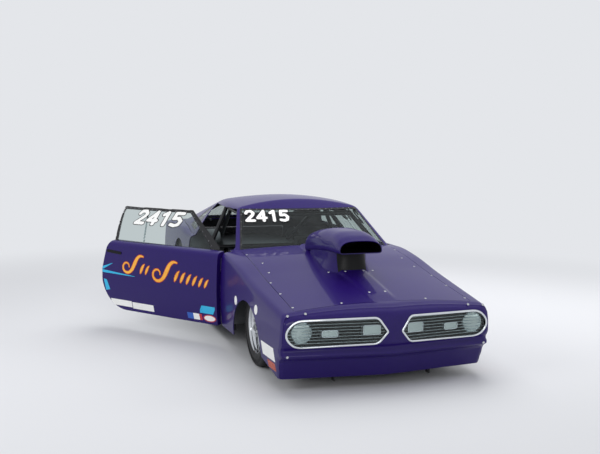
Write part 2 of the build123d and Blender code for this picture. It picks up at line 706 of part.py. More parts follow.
def rim(rim_radius, width, hub_radius, bore_radius, face_offset, centre, side):
    """A spun rim with a slotted disc and a hub."""
    half = width / 2
    barrel = Cylinder(rim_radius, width - 10) - Cylinder(rim_radius - rim_wall, width)
    disc = Pos(0, 0, face_offset) * (Cylinder(rim_radius - 1, 8))
    for step in range(8):
        disc -= Rot(0, 0, 45 * step) * Pos(rim_radius * 0.62, 0, face_offset) * Cylinder(rim_radius * 0.16, 20)
    hub = Pos(0, 0, face_offset - 20) * Cylinder(hub_radius, 60)
    whole = barrel + disc + hub - Cylinder(bore_radius, 4 * width + 200)
    return Pos(*centre) * Rot(0, 90 * side, 0) * whole


for name, side in (("left", 1), ("right", -1)):
    front = (side * front_track_half, front_axle_y, front_tyre_radius)
    back = (side * rear_track_half, rear_axle_y, rear_tyre_radius)
    parts[f"front_tyre_{name}"] = tyre(front_tyre_radius, front_tyre_width, front_rim_radius, front)
    parts[f"rear_tyre_{name}"] = tyre(rear_tyre_radius, rear_tyre_width, rear_rim_radius, back)
    parts[f"front_rim_{name}"] = rim(front_rim_radius, front_tyre_width - 14, 34, 15 + bearing_clearance, 20,
                                     front, side)
    parts[f"rear_rim_{name}"] = rim(rear_rim_radius, rear_tyre_width - 14, 60, shaft_radius, -120, back, side)

# Front struts on the chassis, with knuckles that turn about them
strut_top_z = 640.0
kingpin_radius = 11.0
arm_reach = 130.0
rack_y = front_axle_y + arm_reach
rack_z = 255.0
for name, side in (("left", 1), ("right", -1)):
    upright = Pos(side * kingpin_x, front_axle_y, 0)
    strut = upright * Pos(0, 0, (400 + strut_top_z) / 2) * Cylinder(24, strut_top_z - 400)
    lower = upright * Pos(0, 0, 215) * Cylinder(16, 50)
    arm = rod((side * rail_x, front_axle_y, rail_z), (side * kingpin_x, front_axle_y, 200), 14)
    brace = rod((side * rail_x, front_axle_y + 300, rail_z), (side * kingpin_x, front_axle_y, 200), 10)
    tower = rod((side * rail_x, front_axle_y + 60, rail_z), (side * (kingpin_x - 70), front_axle_y, 610), 16)
    x_near, x_far = sorted((side * (kingpin_x - 95), side * (kingpin_x + 24)))
    cap = slab(x_near, x_far, front_axle_y - 24, front_axle_y + 24, 600, strut_top_z)
    pin = upright * Pos(0, 0, front_tyre_radius) * Cylinder(kingpin_radius, 250)
    parts[f"front_strut_{name}"] = strut + lower + arm + brace + tower + cap + pin - chassis
    block = upright * Pos(0, 0, front_tyre_radius) * Box(66, 66, 120)
    spindle_in = kingpin_x + 30
    spindle_out = front_track_half + 36
    spindle = Pos(side * (spindle_in + spindle_out) / 2, front_axle_y, front_tyre_radius) * Rot(
        0, 90, 0) * Cylinder(15, spindle_out - spindle_in)
    steer_arm = rod((side * (kingpin_x - 5), front_axle_y + 20, 262),
                    (side * (kingpin_x - 20), rack_y + 6, rack_z), 9)
    bore = upright * Pos(0, 0, front_tyre_radius) * Cylinder(kingpin_radius + bearing_clearance, 400)
    parts[f"knuckle_{name}"] = block + spindle + steer_arm - bore

# Steering rack: a fixed housing and the bar with its tie rods
rack_radius = 14.0
rack_housing = Pos(0, rack_y, rack_z) * Rot(0, 90, 0) * Cylinder(26, 420)
rack_feet = Part()
for x in (-150, 150):
    rack_feet += slab(x - 15, x + 15, rack_y - 20, rack_y + 200, rail_z - 10, rail_z + 20)
    rack_feet += slab(x - 15, x + 15, rack_y - 20, rack_y + 20, rail_z - 10, rack_z)
rack_bore = Pos(0, rack_y, rack_z) * Rot(0, 90, 0) * Cylinder(rack_radius + bearing_clearance, 600)
rack_feet += slab(-165, 165, rack_y + 180, rack_y + 206, rail_z - 10, rail_z + 20)
parts["rack_housing"] = rack_housing + rack_feet - rack_bore - chassis
rack_bar = Pos(0, rack_y, rack_z) * Rot(0, 90, 0) * Cylinder(rack_radius, 560)
tie_rods = Pos(0, rack_y, rack_z) * Rot(0, 90, 0) * Cylinder(9, 2 * (kingpin_x - 20 - 18))
parts["rack_bar"] = rack_bar + tie_rods

# Driver's place: seat, dash, steering column and wheel
seat_x = 375.0
seat_floor = floor_z + floor_thick + seat_gap
seat_base = slab(seat_x - 195, seat_x + 195, 20, 440, seat_floor, 290)
seat_back = Pos(seat_x, 478, 500) * Rot(-12, 0, 0) * Box(390, 50, 600)
seat_wings = Part()
for x in (seat_x - 190, seat_x + 190):
    seat_wings += slab(x - 12, x + 12, 60, 450, 200, 430)
seat = seat_base + seat_back + seat_wings
parts["seat"] = seat - slab(0, 800, 0, 800, 0, seat_floor)
parts["dash"] = slab(-670, 670, -515, -380, 640, 740 - cage_tube - seat_gap)
column_angle = 24.0
wheel_centre = Vector(seat_x, -150, 660)
column_dir = Vector(0, -cos(radians(column_angle)), -sin(radians(column_angle)))
column_radius = 16.0
stub_radius = 9.0
column_start = wheel_centre + column_dir * 60
column_end = wheel_centre + column_dir * 520
column = rod(column_start, column_end, column_radius)
column_bracket = slab(seat_x - 20, seat_x + 20, -430, -400, 560, 640)
stub_bore = rod(wheel_centre + column_dir * 20, wheel_centre + column_dir * 166, stub_radius + bearing_clearance)
parts["steering_column"] = column + (column_bracket - column) - stub_bore
wheel_plane = Plane(origin=wheel_centre, z_dir=-column_dir)
wheel_radius = 160.0
steering = Torus(wheel_radius, 14) + Cylinder(30, 24) + Pos(0, 0, -85) * Cylinder(stub_radius, 150)
for step in range(3):
    steering += Rot(0, 0, 90 + 120 * step) * Pos(wheel_radius / 2, 0, 0) * Box(wheel_radius, 24, 6)
parts["steering_wheel"] = wheel_plane * steering
cell_half = 260.0
parts["fuel_cell"] = slab(-cell_half, cell_half, 1995, 2365, rail_tail_z + rail_tube + seat_gap, 650)

# Door hinge brackets on the cage's front legs, with the pins that the straps turn on
brackets = Part()
for side in (1, -1):
    for z in hinge_heights:
        plate_z = z + 26
        bracket = rod((side * door_hinge_x, door_hinge_y, plate_z), (side * 702, -512, plate_z), 4.5)
        bracket += Pos(side * door_hinge_x, door_hinge_y, z + 2) * Cylinder(pin_radius, 58)
        bracket += Pos(side * door_hinge_x, door_hinge_y, plate_z) * Cylinder(strap_barrel, 10)
        brackets += bracket - cage
parts["hinge_brackets"] = brackets

# Tail lamps and bumper on the tail
tail_lamp = side_prism(((2550, 515), (2612, 515), (2597, 605), (2540, 605)), 360, 690) - body_outer
parts["tail_lamps"] = tail_lamp + mirrored(tail_lamp)
bumper = side_prism(((2540, 392), (2612, 398), (2620, 424), (2612, 450), (2540, 462)), -800, 800)
parts["rear_bumper"] = bumper - body_outer

# Deck lid hinge pins on ears under the panel ahead of the lid
for x in (-420.0, 420.0):
    pin = Pos(x, hinge_y, hinge_z) * Rot(0, 90, 0) * Cylinder(hinge_pin_radius, 90)
    ears = slab(x - 45, x - 31, hinge_y - 34, hinge_y + 4, hinge_z - 30, hinge_z + 4)
    ears += slab(x + 31, x + 45, hinge_y - 34, hinge_y + 4, hinge_z - 30, hinge_z + 4)
    parts["deck_hinges"] = parts.get("deck_hinges", Part()) + pin + ears
parts["deck_hinges"] = parts["deck_hinges"] - parts["quarter_left"] - parts["quarter_right"]

for node, solid in parts.items():
    export_step(solid, f"parts/{node}.step")
    box = solid.bounding_box()
    print(node, len(solid.solids()), [round(v) for v in (*box.min, *box.max)])
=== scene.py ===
from math import cos, pi, radians, sin

import bpy
import numpy as np
from mathutils import Matrix, Vector


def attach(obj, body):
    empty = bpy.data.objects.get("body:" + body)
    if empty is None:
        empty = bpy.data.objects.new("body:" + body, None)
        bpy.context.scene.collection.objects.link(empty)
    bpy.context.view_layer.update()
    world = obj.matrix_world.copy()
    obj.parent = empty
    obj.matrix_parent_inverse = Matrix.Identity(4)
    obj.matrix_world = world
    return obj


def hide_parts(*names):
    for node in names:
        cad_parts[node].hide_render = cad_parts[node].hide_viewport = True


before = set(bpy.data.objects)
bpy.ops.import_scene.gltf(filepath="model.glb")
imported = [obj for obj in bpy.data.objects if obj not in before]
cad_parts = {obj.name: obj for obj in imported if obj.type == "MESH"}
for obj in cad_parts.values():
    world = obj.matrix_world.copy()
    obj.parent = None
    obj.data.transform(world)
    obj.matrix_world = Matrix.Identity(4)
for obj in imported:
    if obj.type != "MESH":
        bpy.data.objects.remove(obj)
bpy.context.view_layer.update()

# Camera: a standing person's view of the right front corner, from a little above the roof.
camera_place = Vector((-2.506, -7.484, 1.731))
camera_yaw, camera_pitch, camera_roll = radians(18.92), radians(-5.678), radians(0.605)
camera_ahead = Vector((sin(camera_yaw) * cos(camera_pitch), cos(camera_yaw) * cos(camera_pitch),
                       sin(camera_pitch)))
camera_right = Vector((cos(camera_yaw), -sin(camera_yaw), 0))
camera_up = camera_right.cross(camera_ahead)
rolled_right = camera_right * cos(camera_roll) + camera_up * sin(camera_roll)
rolled_up = camera_up * cos(camera_roll) - camera_right * sin(camera_roll)
camera_data = bpy.data.cameras.new("camera")
camera_data.lens, camera_data.sensor_width = 49.37, 36.0
camera = bpy.data.objects.new("camera", camera_data)
camera.matrix_world = Matrix.Translation(camera_place) @ Matrix(
    (rolled_right, rolled_up, -camera_ahead)).transposed().to_4x4()
bpy.context.scene.collection.objects.link(camera)
bpy.context.scene.camera = camera
bpy.context.scene.view_settings.view_transform = "Standard"


# Studio: a pale floor that fades into a pale surround, soft overhead boxes and a weak fill.
def linear(hex_colour):
    """An sRGB hex value as linear RGBA: the standard curve on each of its three channels."""
    channels = [int(hex_colour[i:i + 2], 16) / 255 for i in (1, 3, 5)]
    return [c / 12.92 if c <= 0.04045 else ((c + 0.055) / 1.055) ** 2.4 for c in channels] + [1.0]


def add(tree, kind, settings=None, inputs=None):
    """Adds one shader node, with its settings, a ramp's two colours, stored inputs and linked inputs."""
    node = tree.nodes.new("ShaderNode" + kind)
    for key, value in (settings or {}).items():
        if key == "ramp":
            node.color_ramp.elements[0].color, node.color_ramp.elements[1].color = map(linear, value)
        else:
            setattr(node, key, value)
    for key, value in (inputs or {}).items():
        if isinstance(value, bpy.types.NodeSocket):
            tree.links.new(value, node.inputs[key])
        else:
            node.inputs[key].default_value = value
    return node


def blank_material(name):
    """A new material with only its output, and its node tree."""
    material = bpy.data.materials.new(name)
    material.use_nodes = True
    material.node_tree.nodes.clear()
    add(material.node_tree, "OutputMaterial")
    return material, material.node_tree


def show(tree, shader):
    """Links a shader's first output to the material's surface."""
    output = next(node for node in tree.nodes if node.type == "OUTPUT_MATERIAL")
    tree.links.new(shader.outputs[0], output.inputs["Surface"])


surround_colour = "#E4E6EA"
world = bpy.data.worlds.new("studio_air")
bpy.context.scene.world = world
world.use_nodes = True
air = world.node_tree
air.nodes.clear()
ray = add(air, "LightPath")
seen_or_glossy = add(air, "Math", {"operation": "MAXIMUM"}, {
    0: ray.outputs["Is Camera Ray"], 1: ray.outputs["Is Glossy Ray"]})
seen = add(air, "Math", {"operation": "MAXIMUM"}, {
    0: seen_or_glossy.outputs[0], 1: ray.outputs["Is Transmission Ray"]})
fill_strength, seen_strength = 0.55, 1.0
strength = add(air, "Mix", {"data_type": "FLOAT"}, {0: seen.outputs[0], 2: fill_strength, 3: seen_strength})
backlight = add(air, "Background", inputs={"Color": linear(surround_colour), "Strength": strength.outputs[0]})
add(air, "OutputWorld", inputs={"Surface": backlight.outputs[0]})

floor_reach, floor_fade_from, floor_fade_to = 60.0, 2.4, 7.0
floor_mesh = bpy.data.meshes.new("studio_floor")
floor_mesh.from_pydata([(-floor_reach, -floor_reach, 0), (floor_reach, -floor_reach, 0),
                        (floor_reach, floor_reach, 0), (-floor_reach, floor_reach, 0)], [], [(0, 1, 2, 3)])
floor = bpy.data.objects.new("studio_floor", floor_mesh)
bpy.context.scene.collection.objects.link(floor)
floor_paint, tree = blank_material("matt_studio_floor")
spot = add(tree, "TexCoord")
away = add(tree, "VectorMath", {"operation": "LENGTH"}, {0: spot.outputs["Object"]})
fade = add(tree, "MapRange", {"interpolation_type": "SMOOTHSTEP"}, {
    "Value": away.outputs["Value"], "From Min": floor_fade_from, "From Max": floor_fade_to})
matt = add(tree, "BsdfDiffuse", inputs={"Color": linear("#D2D3D6")})
far = add(tree, "Emission", inputs={"Color": linear(surround_colour)})
show(tree, add(tree, "MixShader", inputs={0: fade.outputs[0], 1: matt.outputs[0], 2: far.outputs[0]}))
floor_mesh.materials.append(floor_paint)

for lamp_name, place, aim, size, watts in (
    ("overhead_box", (0.8, 1.2, 5.2), (0, -0.3, 0.6), (5.5, 7.0), 330),
    ("left_box", (6.0, -1.5, 3.4), (0, -0.5, 0.6), (3.0, 3.0), 120),
    ("door_box", (-6.5, -2.5, 3.6), (-0.8, 0, 0.6), (3.5, 3.0), 150),
    ("nose_box", (-1.5, -8.5, 2.6), (0, -2, 0.5), (4.0, 1.6), 75),
):
    lamp_data = bpy.data.lights.new(lamp_name, "AREA")
    lamp_data.shape, lamp_data.size, lamp_data.size_y, lamp_data.energy = "RECTANGLE", size[0], size[1], watts
    lamp = bpy.data.objects.new(lamp_name, lamp_data)
    lamp.location = place
    lamp.rotation_mode = "QUATERNION"
    lamp.rotation_quaternion = (Vector(aim) - Vector(place)).to_track_quat("-Z", "Y")
    # only the box ahead of the nose is mirrored in the paint, as a soft highlight
    lamp.visible_glossy = lamp_name == "nose_box"
    bpy.context.scene.collection.objects.link(lamp)

# Body skin: one moulded glass-fibre form, cut into panels. Its cross-sections are a tucked
# side, a tight shoulder and a crowned top, and its plan is one shallow arc.
widest_half, widest_y, plan_radius = 0.884, 0.150, 43.2
body_stations = np.array((
    # y, shoulder height, rise of the centre line above the shoulder
    (-2.3400, 0.530, 0.042), (-1.3715, 0.683, 0.062), (-0.900, 0.773, 0.051), (-0.607, 0.804, 0.045),
    (0.800, 0.813, 0.045), (1.3715, 0.842, 0.045), (2.100, 0.832, 0.040), (2.640, 0.792, 0.026)))
body_foot, widest_share = 0.060, 0.6
side_tuck, side_lean, shoulder_drop = 0.030, 0.012, 0.045
bend_in, bend_drop, edge_in, edge_rise = 0.0255, 0.01215, 0.057, 0.002
top_steps, shoulder_steps, side_steps = 62, 7, 50
lower_edge = np.array((
    (-2.600, 0.084), (-2.060, 0.088), (-1.735, 0.170), (0.810, 0.168), (1.820, 0.200),
    (2.300, 0.250), (2.560, 0.330), (2.760, 0.400)))
skin_thick = 0.006


def half_width(y):
    """Half the body's width along its length: widest minus the square of the distance over a diameter."""
    return widest_half - (y - widest_y) ** 2 / (2 * plan_radius)


def eased(x, table, column):
    """Smooth line through a table's column: cubic pieces, whose slope at each knot is the harmonic mean
    of the slopes on its two sides."""
    xs, ys = table[:, 0], table[:, column]
    run, rise = np.diff(xs), np.diff(ys) / np.diff(xs)
    product = rise[:-1] * rise[1:]
    mean = np.where(product > 0, 2 * product / np.where(product > 0, rise[:-1] + rise[1:], 1), 0)
    slope = np.concatenate((rise[:1], mean, rise[-1:]))
    i = np.clip(np.searchsorted(xs, x) - 1, 0, len(xs) - 2)
    t = (x - xs[i]) / run[i]
    return (ys[i] * (1 + 2 * t) * (1 - t) ** 2 + slope[i] * run[i] * t * (1 - t) ** 2
            + ys[i + 1] * t * t * (3 - 2 * t) + slope[i + 1] * run[i] * t * t * (t - 1))


def arc_through(a, b, c, t):
    """Points at shares t of the circular arc from a through b to c, for whole arrays of arcs at once."""
    ab, ac = b - a, c - a
    cross = 2 * (ab[..., 0] * ac[..., 1] - ab[..., 1] * ac[..., 0])
    ab2, ac2 = (ab ** 2).sum(-1), (ac ** 2).sum(-1)
    centre = a + np.stack((ac[..., 1] * ab2 - ab[..., 1] * ac2, ab[..., 0] * ac2 - ac[..., 0] * ab2),
                          -1) / cross[..., None]
    start, middle, end = [np.arctan2(*np.moveaxis(p - centre, -1, 0)[::-1]) for p in (a, b, c)]
    turn, part_turn = (end - start) % (2 * pi), (middle - start) % (2 * pi)
    turn = np.where(part_turn > turn, turn - 2 * pi, turn)
    radius = np.linalg.norm(a - centre, axis=-1)
    angle = start[..., None] + turn[..., None] * t
    return centre[..., None, :] + radius[..., None, None] * np.stack((np.cos(angle), np.sin(angle)), -1)


def body_size(y):
    """Half-width, shoulder height and rise of the crown at stations y."""
    return half_width(y), eased(y, body_stations, 1), eased(y, body_stations, 2)


def smoothed(grid, passes, axis=0):
    """A grid whose inner rows become, in each pass, half themselves plus a quarter of each neighbour."""
    rows = np.moveaxis(np.array(grid), axis, 0)
    for _ in range(passes):
        rows[1:-1] = 0.25 * rows[:-2] + 0.5 * rows[1:-1] + 0.25 * rows[2:]
    return np.moveaxis(rows, 0, axis)


def body_sections(y):
    """Half cross-sections (x, z) at stations y, from the centre line over the shoulder to the lower edge."""
    half, shoulder, crown = body_size(y)
    foot = np.full_like(y, body_foot)
    low, wide, side_top, bend, top_edge, centre = (np.stack((across, up), -1) for across, up in (
        (half - side_tuck, foot), (half, foot + widest_share * (shoulder - foot)),
        (half - side_lean, shoulder - shoulder_drop), (half - bend_in, shoulder - bend_drop),
        (half - edge_in, shoulder + edge_rise), (0 * half, shoulder + crown)))
    top = arc_through(top_edge * (-1, 1), centre, top_edge, np.linspace(0.5, 1, top_steps + 1))
    shoulder_arc = arc_through(top_edge, bend, side_top, np.linspace(0, 1, shoulder_steps + 1))
    side = arc_through(side_top, wide, low, np.linspace(0, 1, side_steps + 1))
    return smoothed(np.concatenate((top, shoulder_arc[:, 1:], side[:, 1:]), 1), 3, 1)


side_columns = top_steps + shoulder_steps + side_steps


def skin_grid(y_from, y_to, first, last, step=0.02):
    """Grid of the body skin between two stations and two columns, counted from the centre line."""
    y = np.linspace(y_from, y_to, int(np.ceil((y_to - y_from) / step)) + 1)
    columns = np.arange(first, last + 1)
    section = body_sections(y)[:, np.abs(columns)]
    x, z = section[..., 0] * np.sign(columns), section[..., 1]
    return np.stack((x, np.broadcast_to(y[:, None], x.shape), z), -1).transpose(1, 0, 2)


def unit(vectors):
    """Vectors over their own lengths; the tiny number keeps a vector without length from a division by 0."""
    return vectors / (np.linalg.norm(vectors, axis=-1, keepdims=True) + 1e-12)


def sheet_of(grid):
    """A grid of points as a triangle sheet: points, their normals from the grid's two directions, faces."""
    normals = unit(np.cross(np.gradient(grid, axis=0), np.gradient(grid, axis=1)))
    rows, columns = grid.shape[:2]
    index = np.arange(rows * columns).reshape(rows, columns)
    a, b, c, d = index[:-1, :-1], index[1:, :-1], index[1:, 1:], index[:-1, 1:]
    faces = np.concatenate((np.stack((a, b, c), -1).reshape(-1, 3), np.stack((a, c, d), -1).reshape(-1, 3)))
    return grid.reshape(-1, 3), normals.reshape(-1, 3), faces


def cut(sheet, field):
    """The part of a sheet where the field is above zero, cut along the line where it is zero."""
    points, normals, faces = sheet
    value = field(points)
    value = np.where(np.abs(value) < 1e-7, 1e-7, value)
    above = value > 0
    count = above[faces].sum(1)
    mixed, mixed_count = faces[(count == 1) | (count == 2)], count[(count == 1) | (count == 2)]
    odd = (above[mixed] == (mixed_count == 1)[:, None]).argmax(1)
    a, b, c = mixed[np.arange(len(mixed))[:, None], (odd[:, None] + (0, 1, 2)) % 3].T
    edges = np.sort(np.concatenate((np.stack((a, b), 1), np.stack((a, c), 1))), 1)
    edges, place = np.unique(edges, axis=0, return_inverse=True)
    p, q = edges.T
    share = (value[p] / (value[p] - value[q]))[:, None]
    extra = points[p] + share * (points[q] - points[p])
    extra_normals = normals[p] + share * (normals[q] - normals[p])
    ab, ac = len(points) + place.reshape(2, -1)
    one = mixed_count == 1
    faces = np.concatenate((
        faces[count == 3], np.stack((a, ab, ac), 1)[one],
        np.stack((ab, b, c), 1)[~one], np.stack((ab, c, ac), 1)[~one]))
    used, faces = np.unique(faces, return_inverse=True)
    points, normals = np.concatenate((points, extra))[used], np.concatenate((normals, extra_normals))[used]
    return points, unit(normals), faces.reshape(-1, 3)


def joined(*sheets):
    """Several sheets as one, with the points that they share along their seams merged."""
    starts = np.cumsum([0] + [len(sheet[0]) for sheet in sheets])
    points, normals = (np.concatenate([sheet[i] for sheet in sheets]) for i in (0, 1))
    faces = np.concatenate([sheet[2] + start for sheet, start in zip(sheets, starts)])
    _, first, place = np.unique(np.round(points * 1e5).astype(int), axis=0,
                                return_index=True, return_inverse=True)
    return points[first], normals[first], place.ravel()[faces]


def mirrored(sheet):
    """The same sheet on the other side of the car, with its faces turned to point outwards."""
    points, normals, faces = sheet
    return points * (-1, 1, 1), normals * (-1, 1, 1), faces[:, ::-1]


def both(sheet):
    """A sheet with its mirror image on the other side of the car."""
    return joined(sheet, mirrored(sheet))


def moved(sheet, offset):
    """A sheet moved along its own normals."""
    return sheet[0] + sheet[1] * offset, sheet[1], sheet[2]


def plain_piece(name, sheet, material, body, replaces=(), corner_normals=None, crease=35):
    """An object from a closed sheet, smooth but for edges sharper than crease degrees, on its body."""
    mesh = bpy.data.meshes.new(name)
    mesh.from_pydata(np.asarray(sheet[0], float).tolist(), [], np.asarray(sheet[2]).tolist())
    mesh.shade_smooth()
    if corner_normals is None:
        mesh.set_sharp_from_angle(angle=radians(crease))
    else:
        mesh.normals_split_custom_set(corner_normals.tolist())
    mesh.materials.append(material)
    made = bpy.data.objects.new(name, mesh)
    bpy.context.scene.collection.objects.link(made)
    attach(made, body)
    if replaces:
        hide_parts(*replaces)
    return made


def piece(name, sheet, thick, material, body, replaces=()):
    """A sheet given its thickness inwards, as an object on its body: front, back and a crisp rim.
    Behind lacquer, the back is the bare moulding."""
    points, normals, faces = sheet
    count = len(points)
    directed = np.concatenate((faces[:, (0, 1)], faces[:, (1, 2)], faces[:, (2, 0)]))
    keys = directed[:, 0] * count + directed[:, 1]
    a, b = directed[~np.isin(keys, directed[:, 1] * count + directed[:, 0])].T
    rim = np.concatenate((np.stack((b, a, a + count), 1), np.stack((b, a + count, b + count), 1)))
    solid = np.concatenate((points, points - normals * thick))
    all_faces = np.concatenate((faces, faces[:, ::-1] + count, rim))
    corner = np.concatenate((normals, -normals))[all_faces]
    p, q, r = solid[rim].transpose(1, 0, 2)
    corner[len(faces) * 2:] = unit(np.cross(q - p, r - p))[:, None]
    made = plain_piece(name, (solid, None, all_faces), material, body, replaces, corner.reshape(-1, 3))
    if material is lacquer:
        made.data.materials.append(gelcoat)
        side_of_face = np.zeros(len(all_faces), np.int32)
        side_of_face[len(faces):len(faces) * 2] = 1
        made.data.polygons.foreach_set("material_index", side_of_face)


def violet_lacquer():
    """Deep violet pearl under polished clear lacquer: a dark, dull body colour under a hard clear gloss."""
    material, tree = blank_material("violet_pearl_lacquer")
    spot = add(tree, "TexCoord")
    # orange peel of sprayed lacquer, about 9 mm from crest to crest
    peel = add(tree, "TexNoise", inputs={"Vector": spot.outputs["Object"], "Scale": 110.0, "Detail": 1.0})
    relief = add(tree, "Bump", inputs={"Height": peel.outputs["Fac"], "Strength": 0.035, "Distance": 0.002})
    # pearl flakes, drawn 2 mm wide so that they show
    flake = add(tree, "TexVoronoi", inputs={"Vector": spot.outputs["Object"], "Scale": 500.0})
    sparkle = add(tree, "ValToRGB", {"ramp": ("#190A49", "#28136A")}, {"Fac": flake.outputs["Color"]})
    paint = add(tree, "BsdfPrincipled", inputs={
        "Base Color": sparkle.outputs["Color"], "Roughness": 0.4, "Specular IOR Level": 0.1,
        "Coat Weight": 0.38, "Coat Roughness": 0.02, "Coat Normal": relief.outputs[0]})
    show(tree, paint)
    return material


def grey_gelcoat():
    """Bare inner side of a hand-laid moulding: dark grey and dull, with the glass cloth's weave, drawn
    6 mm wide so that it shows."""
    material, tree = blank_material("dark_grey_glass_fibre")
    spot = add(tree, "TexCoord")
    weave = add(tree, "TexVoronoi", inputs={"Vector": spot.outputs["Object"], "Scale": 1 / 0.006})
    shade = add(tree, "ValToRGB", {"ramp": ("#1D1D20", "#29292D")}, {"Fac": weave.outputs["Distance"]})
    relief = add(tree, "Bump", inputs={
        "Height": weave.outputs["Distance"], "Strength": 0.4, "Distance": 0.0004})
    show(tree, add(tree, "BsdfPrincipled", inputs={
        "Base Color": shade.outputs["Color"], "Roughness": 0.62, "Normal": relief.outputs[0]}))
    return material


lacquer, gelcoat = violet_lacquer(), grey_gelcoat()

# Nose: its side profile runs along each half's sweep, with a rolled lip under the grilles and
# a valance below it. It is one moulding with both front wings.
nose_tip_y, nose_sweep, nose_prow, nose_stretch = -2.286, 0.11, 0.02, 1.006
nose_profile = np.array((
    # height, distance behind the foremost line
    (0.060, 0.118), (0.084, 0.108), (0.226, 0.064), (0.240, 0.046), (0.252, 0.018), (0.266, 0.006),
    (0.282, 0.008), (0.296, 0.030), (0.310, 0.036), (0.326, 0.018), (0.344, 0.006), (0.425, 0.0),
    (0.500, 0.004), (0.530, 0.012), (0.556, 0.028), (0.590, 0.062), (0.640, 0.125), (0.700, 0.215)))
door_front_y, door_rear_y, door_foot, door_gap = -0.614, 0.810, 0.170, 0.010
hood_half, hood_front_y, hood_rear_y, hood_gap = 0.705, -2.120, -0.690, 0.004
front_axle_y, rear_axle_y = -1.3715, 1.3715
front_arch, rear_arch = (0.370, 0.150), (0.430, 0.280)
edge_round, grille_steps = 0.036, (63, 18)
face_half, face_low, face_high, face_steps = 0.86, 0.062, 0.66, (74, 76)


def nose_depth(z):
    """Distance of the nose's face behind its foremost line at a height, softened over 12 mm."""
    return sum(np.interp(z + shift, *nose_profile.T) for shift in (-0.012, -0.006, 0, 0.006, 0.012)) / 5


def nose_y(x, z):
    """The nose's face: foremost line swept back with the distance from the centre, plus the side profile."""
    swept_back = nose_sweep * (np.sqrt(x ** 2 + nose_prow ** 2) - nose_prow)
    return nose_tip_y + swept_back + nose_stretch * nose_depth(z)


def behind_nose(points):
    """Distance behind the nose's face, square to it."""
    x, y, z = points.T
    slope = (nose_depth(z + 0.004) - nose_depth(z - 0.004)) / 0.008
    return (y - nose_y(x, z)) / np.sqrt(1 + slope ** 2)


def under_skin(points):
    """Distance inside the body skin's sides and top, near the nose or the tail."""
    x, y, z = np.abs(points[:, 0]), points[:, 1], points[:, 2]
    half, shoulder, crown = body_size(y)
    top = shoulder + edge_rise + (crown - edge_rise) * (1 - (x / (half - edge_in)) ** 2)
    wide_z = body_foot + widest_share * (shoulder - body_foot)
    side = half - side_tuck * np.clip((wide_z - z) / (wide_z - body_foot), 0, 1) ** 2
    side -= side_lean * np.clip((z - wide_z) / (shoulder - shoulder_drop - wide_z), 0, 2) ** 2
    gap_side, gap_top = side - x, top - z
    near = np.clip(1 - np.abs(gap_side - gap_top) / 0.05, 0, 1)
    return np.minimum(gap_side, gap_top) - near ** 2 * 0.05 / 4


def rounded_back(distance, reach):
    """How far a face moves in, near another that lies at a distance, so that both meet in a round edge."""
    shift = np.zeros_like(distance)
    for _ in range(8):
        shift = reach / 4 * (1 - np.clip((distance - shift) / reach, 0, 1)) ** 2
    return shift


def drawn_in(grid, other, reach):
    """A grid moved in along its normals near the face that other measures to."""
    points, normals, _ = sheet_of(grid)
    return (points - normals * rounded_back(other(points), reach)[:, None]).reshape(grid.shape)


def inside(outline, a, b):
    """How far the points (a, b) lie inside a convex outline; negative outside."""
    corners = np.array(outline)
    following = np.roll(corners, -1, 0)
    turn = np.sign((corners[:, 0] * following[:, 1] - corners[:, 1] * following[:, 0]).sum())
    ahead = unit(following - corners)
    return np.min([turn * (e[0] * (b - p[1]) - e[1] * (a - p[0])) for e, p in zip(ahead, corners)], 0)


def above_lower_edge(points):
    """Height above the body's lower edge, which rises behind the nose and towards the tail."""
    return points[:, 2] - np.interp(points[:, 1], *lower_edge.T)


def out_of_arches(points):
    """Distance outside both wheel openings, which are circles in side view."""
    y, z = points[:, 1], points[:, 2]
    return np.minimum(np.hypot(y - front_axle_y, z - front_arch[1]) - front_arch[0],
                      np.hypot(y - rear_axle_y, z - rear_arch[1]) - rear_arch[0])


grille_centre_z, grille_tip, grille_inner, grille_outer, grille_end = 0.425, 0.054, 0.125, 0.722, 0.787


def softened(corners, reaches, steps=6):
    """A closed outline with each corner replaced by a quadratic curve that starts a reach before it."""
    points = np.array(corners, float)
    before, after = np.roll(points, 1, 0) - points, np.roll(points, -1, 0) - points
    reach = np.array(reaches, float)[:, None]
    start = points + before * np.minimum(reach / np.linalg.norm(before, axis=1, keepdims=True), 0.49)
    end = points + after * np.minimum(reach / np.linalg.norm(after, axis=1, keepdims=True), 0.49)
    t = np.linspace(0, 1, steps)[:, None, None]
    return (start * (1 - t) ** 2 + 2 * points * t * (1 - t) + end * t * t).transpose(1, 0, 2).reshape(-1, 2)


grille_outline = softened(
    ((grille_tip, grille_centre_z), (grille_inner, 0.526), (grille_outer, 0.521), (grille_end, 0.455),
     (grille_end, 0.395), (grille_outer, 0.330), (grille_inner, 0.340)),
    (0.010, 0.030, 0.060, 0.040, 0.040, 0.060, 0.030))


def wing_sheet():
    """Left half of the front end: the wing's side and top outside the hood with the strip ahead of it,
    and the nose's face."""
    grid = drawn_in(skin_grid(-2.30, door_front_y - door_gap, 0, side_columns), behind_nose, edge_round)
    skin = cut(sheet_of(grid), lambda p: behind_nose(p) - edge_round / 4)
    skin = cut(skin, lambda p: np.maximum(p[:, 0] - hood_half, hood_front_y - p[:, 1]))
    skin = cut(cut(skin, above_lower_edge), out_of_arches)
    x, z = np.meshgrid(np.linspace(0, face_half, face_steps[0]),
                       np.linspace(face_low, face_high, face_steps[1]), indexing="ij")
    face_grid = drawn_in(np.stack((x, nose_y(x, z), z), -1), under_skin, edge_round)
    face = cut(sheet_of(face_grid), lambda p: under_skin(p) - edge_round / 4)
    face = cut(face, above_lower_edge)
    return skin, cut(face, lambda p: -inside(grille_outline, p[:, 0], p[:, 2]))


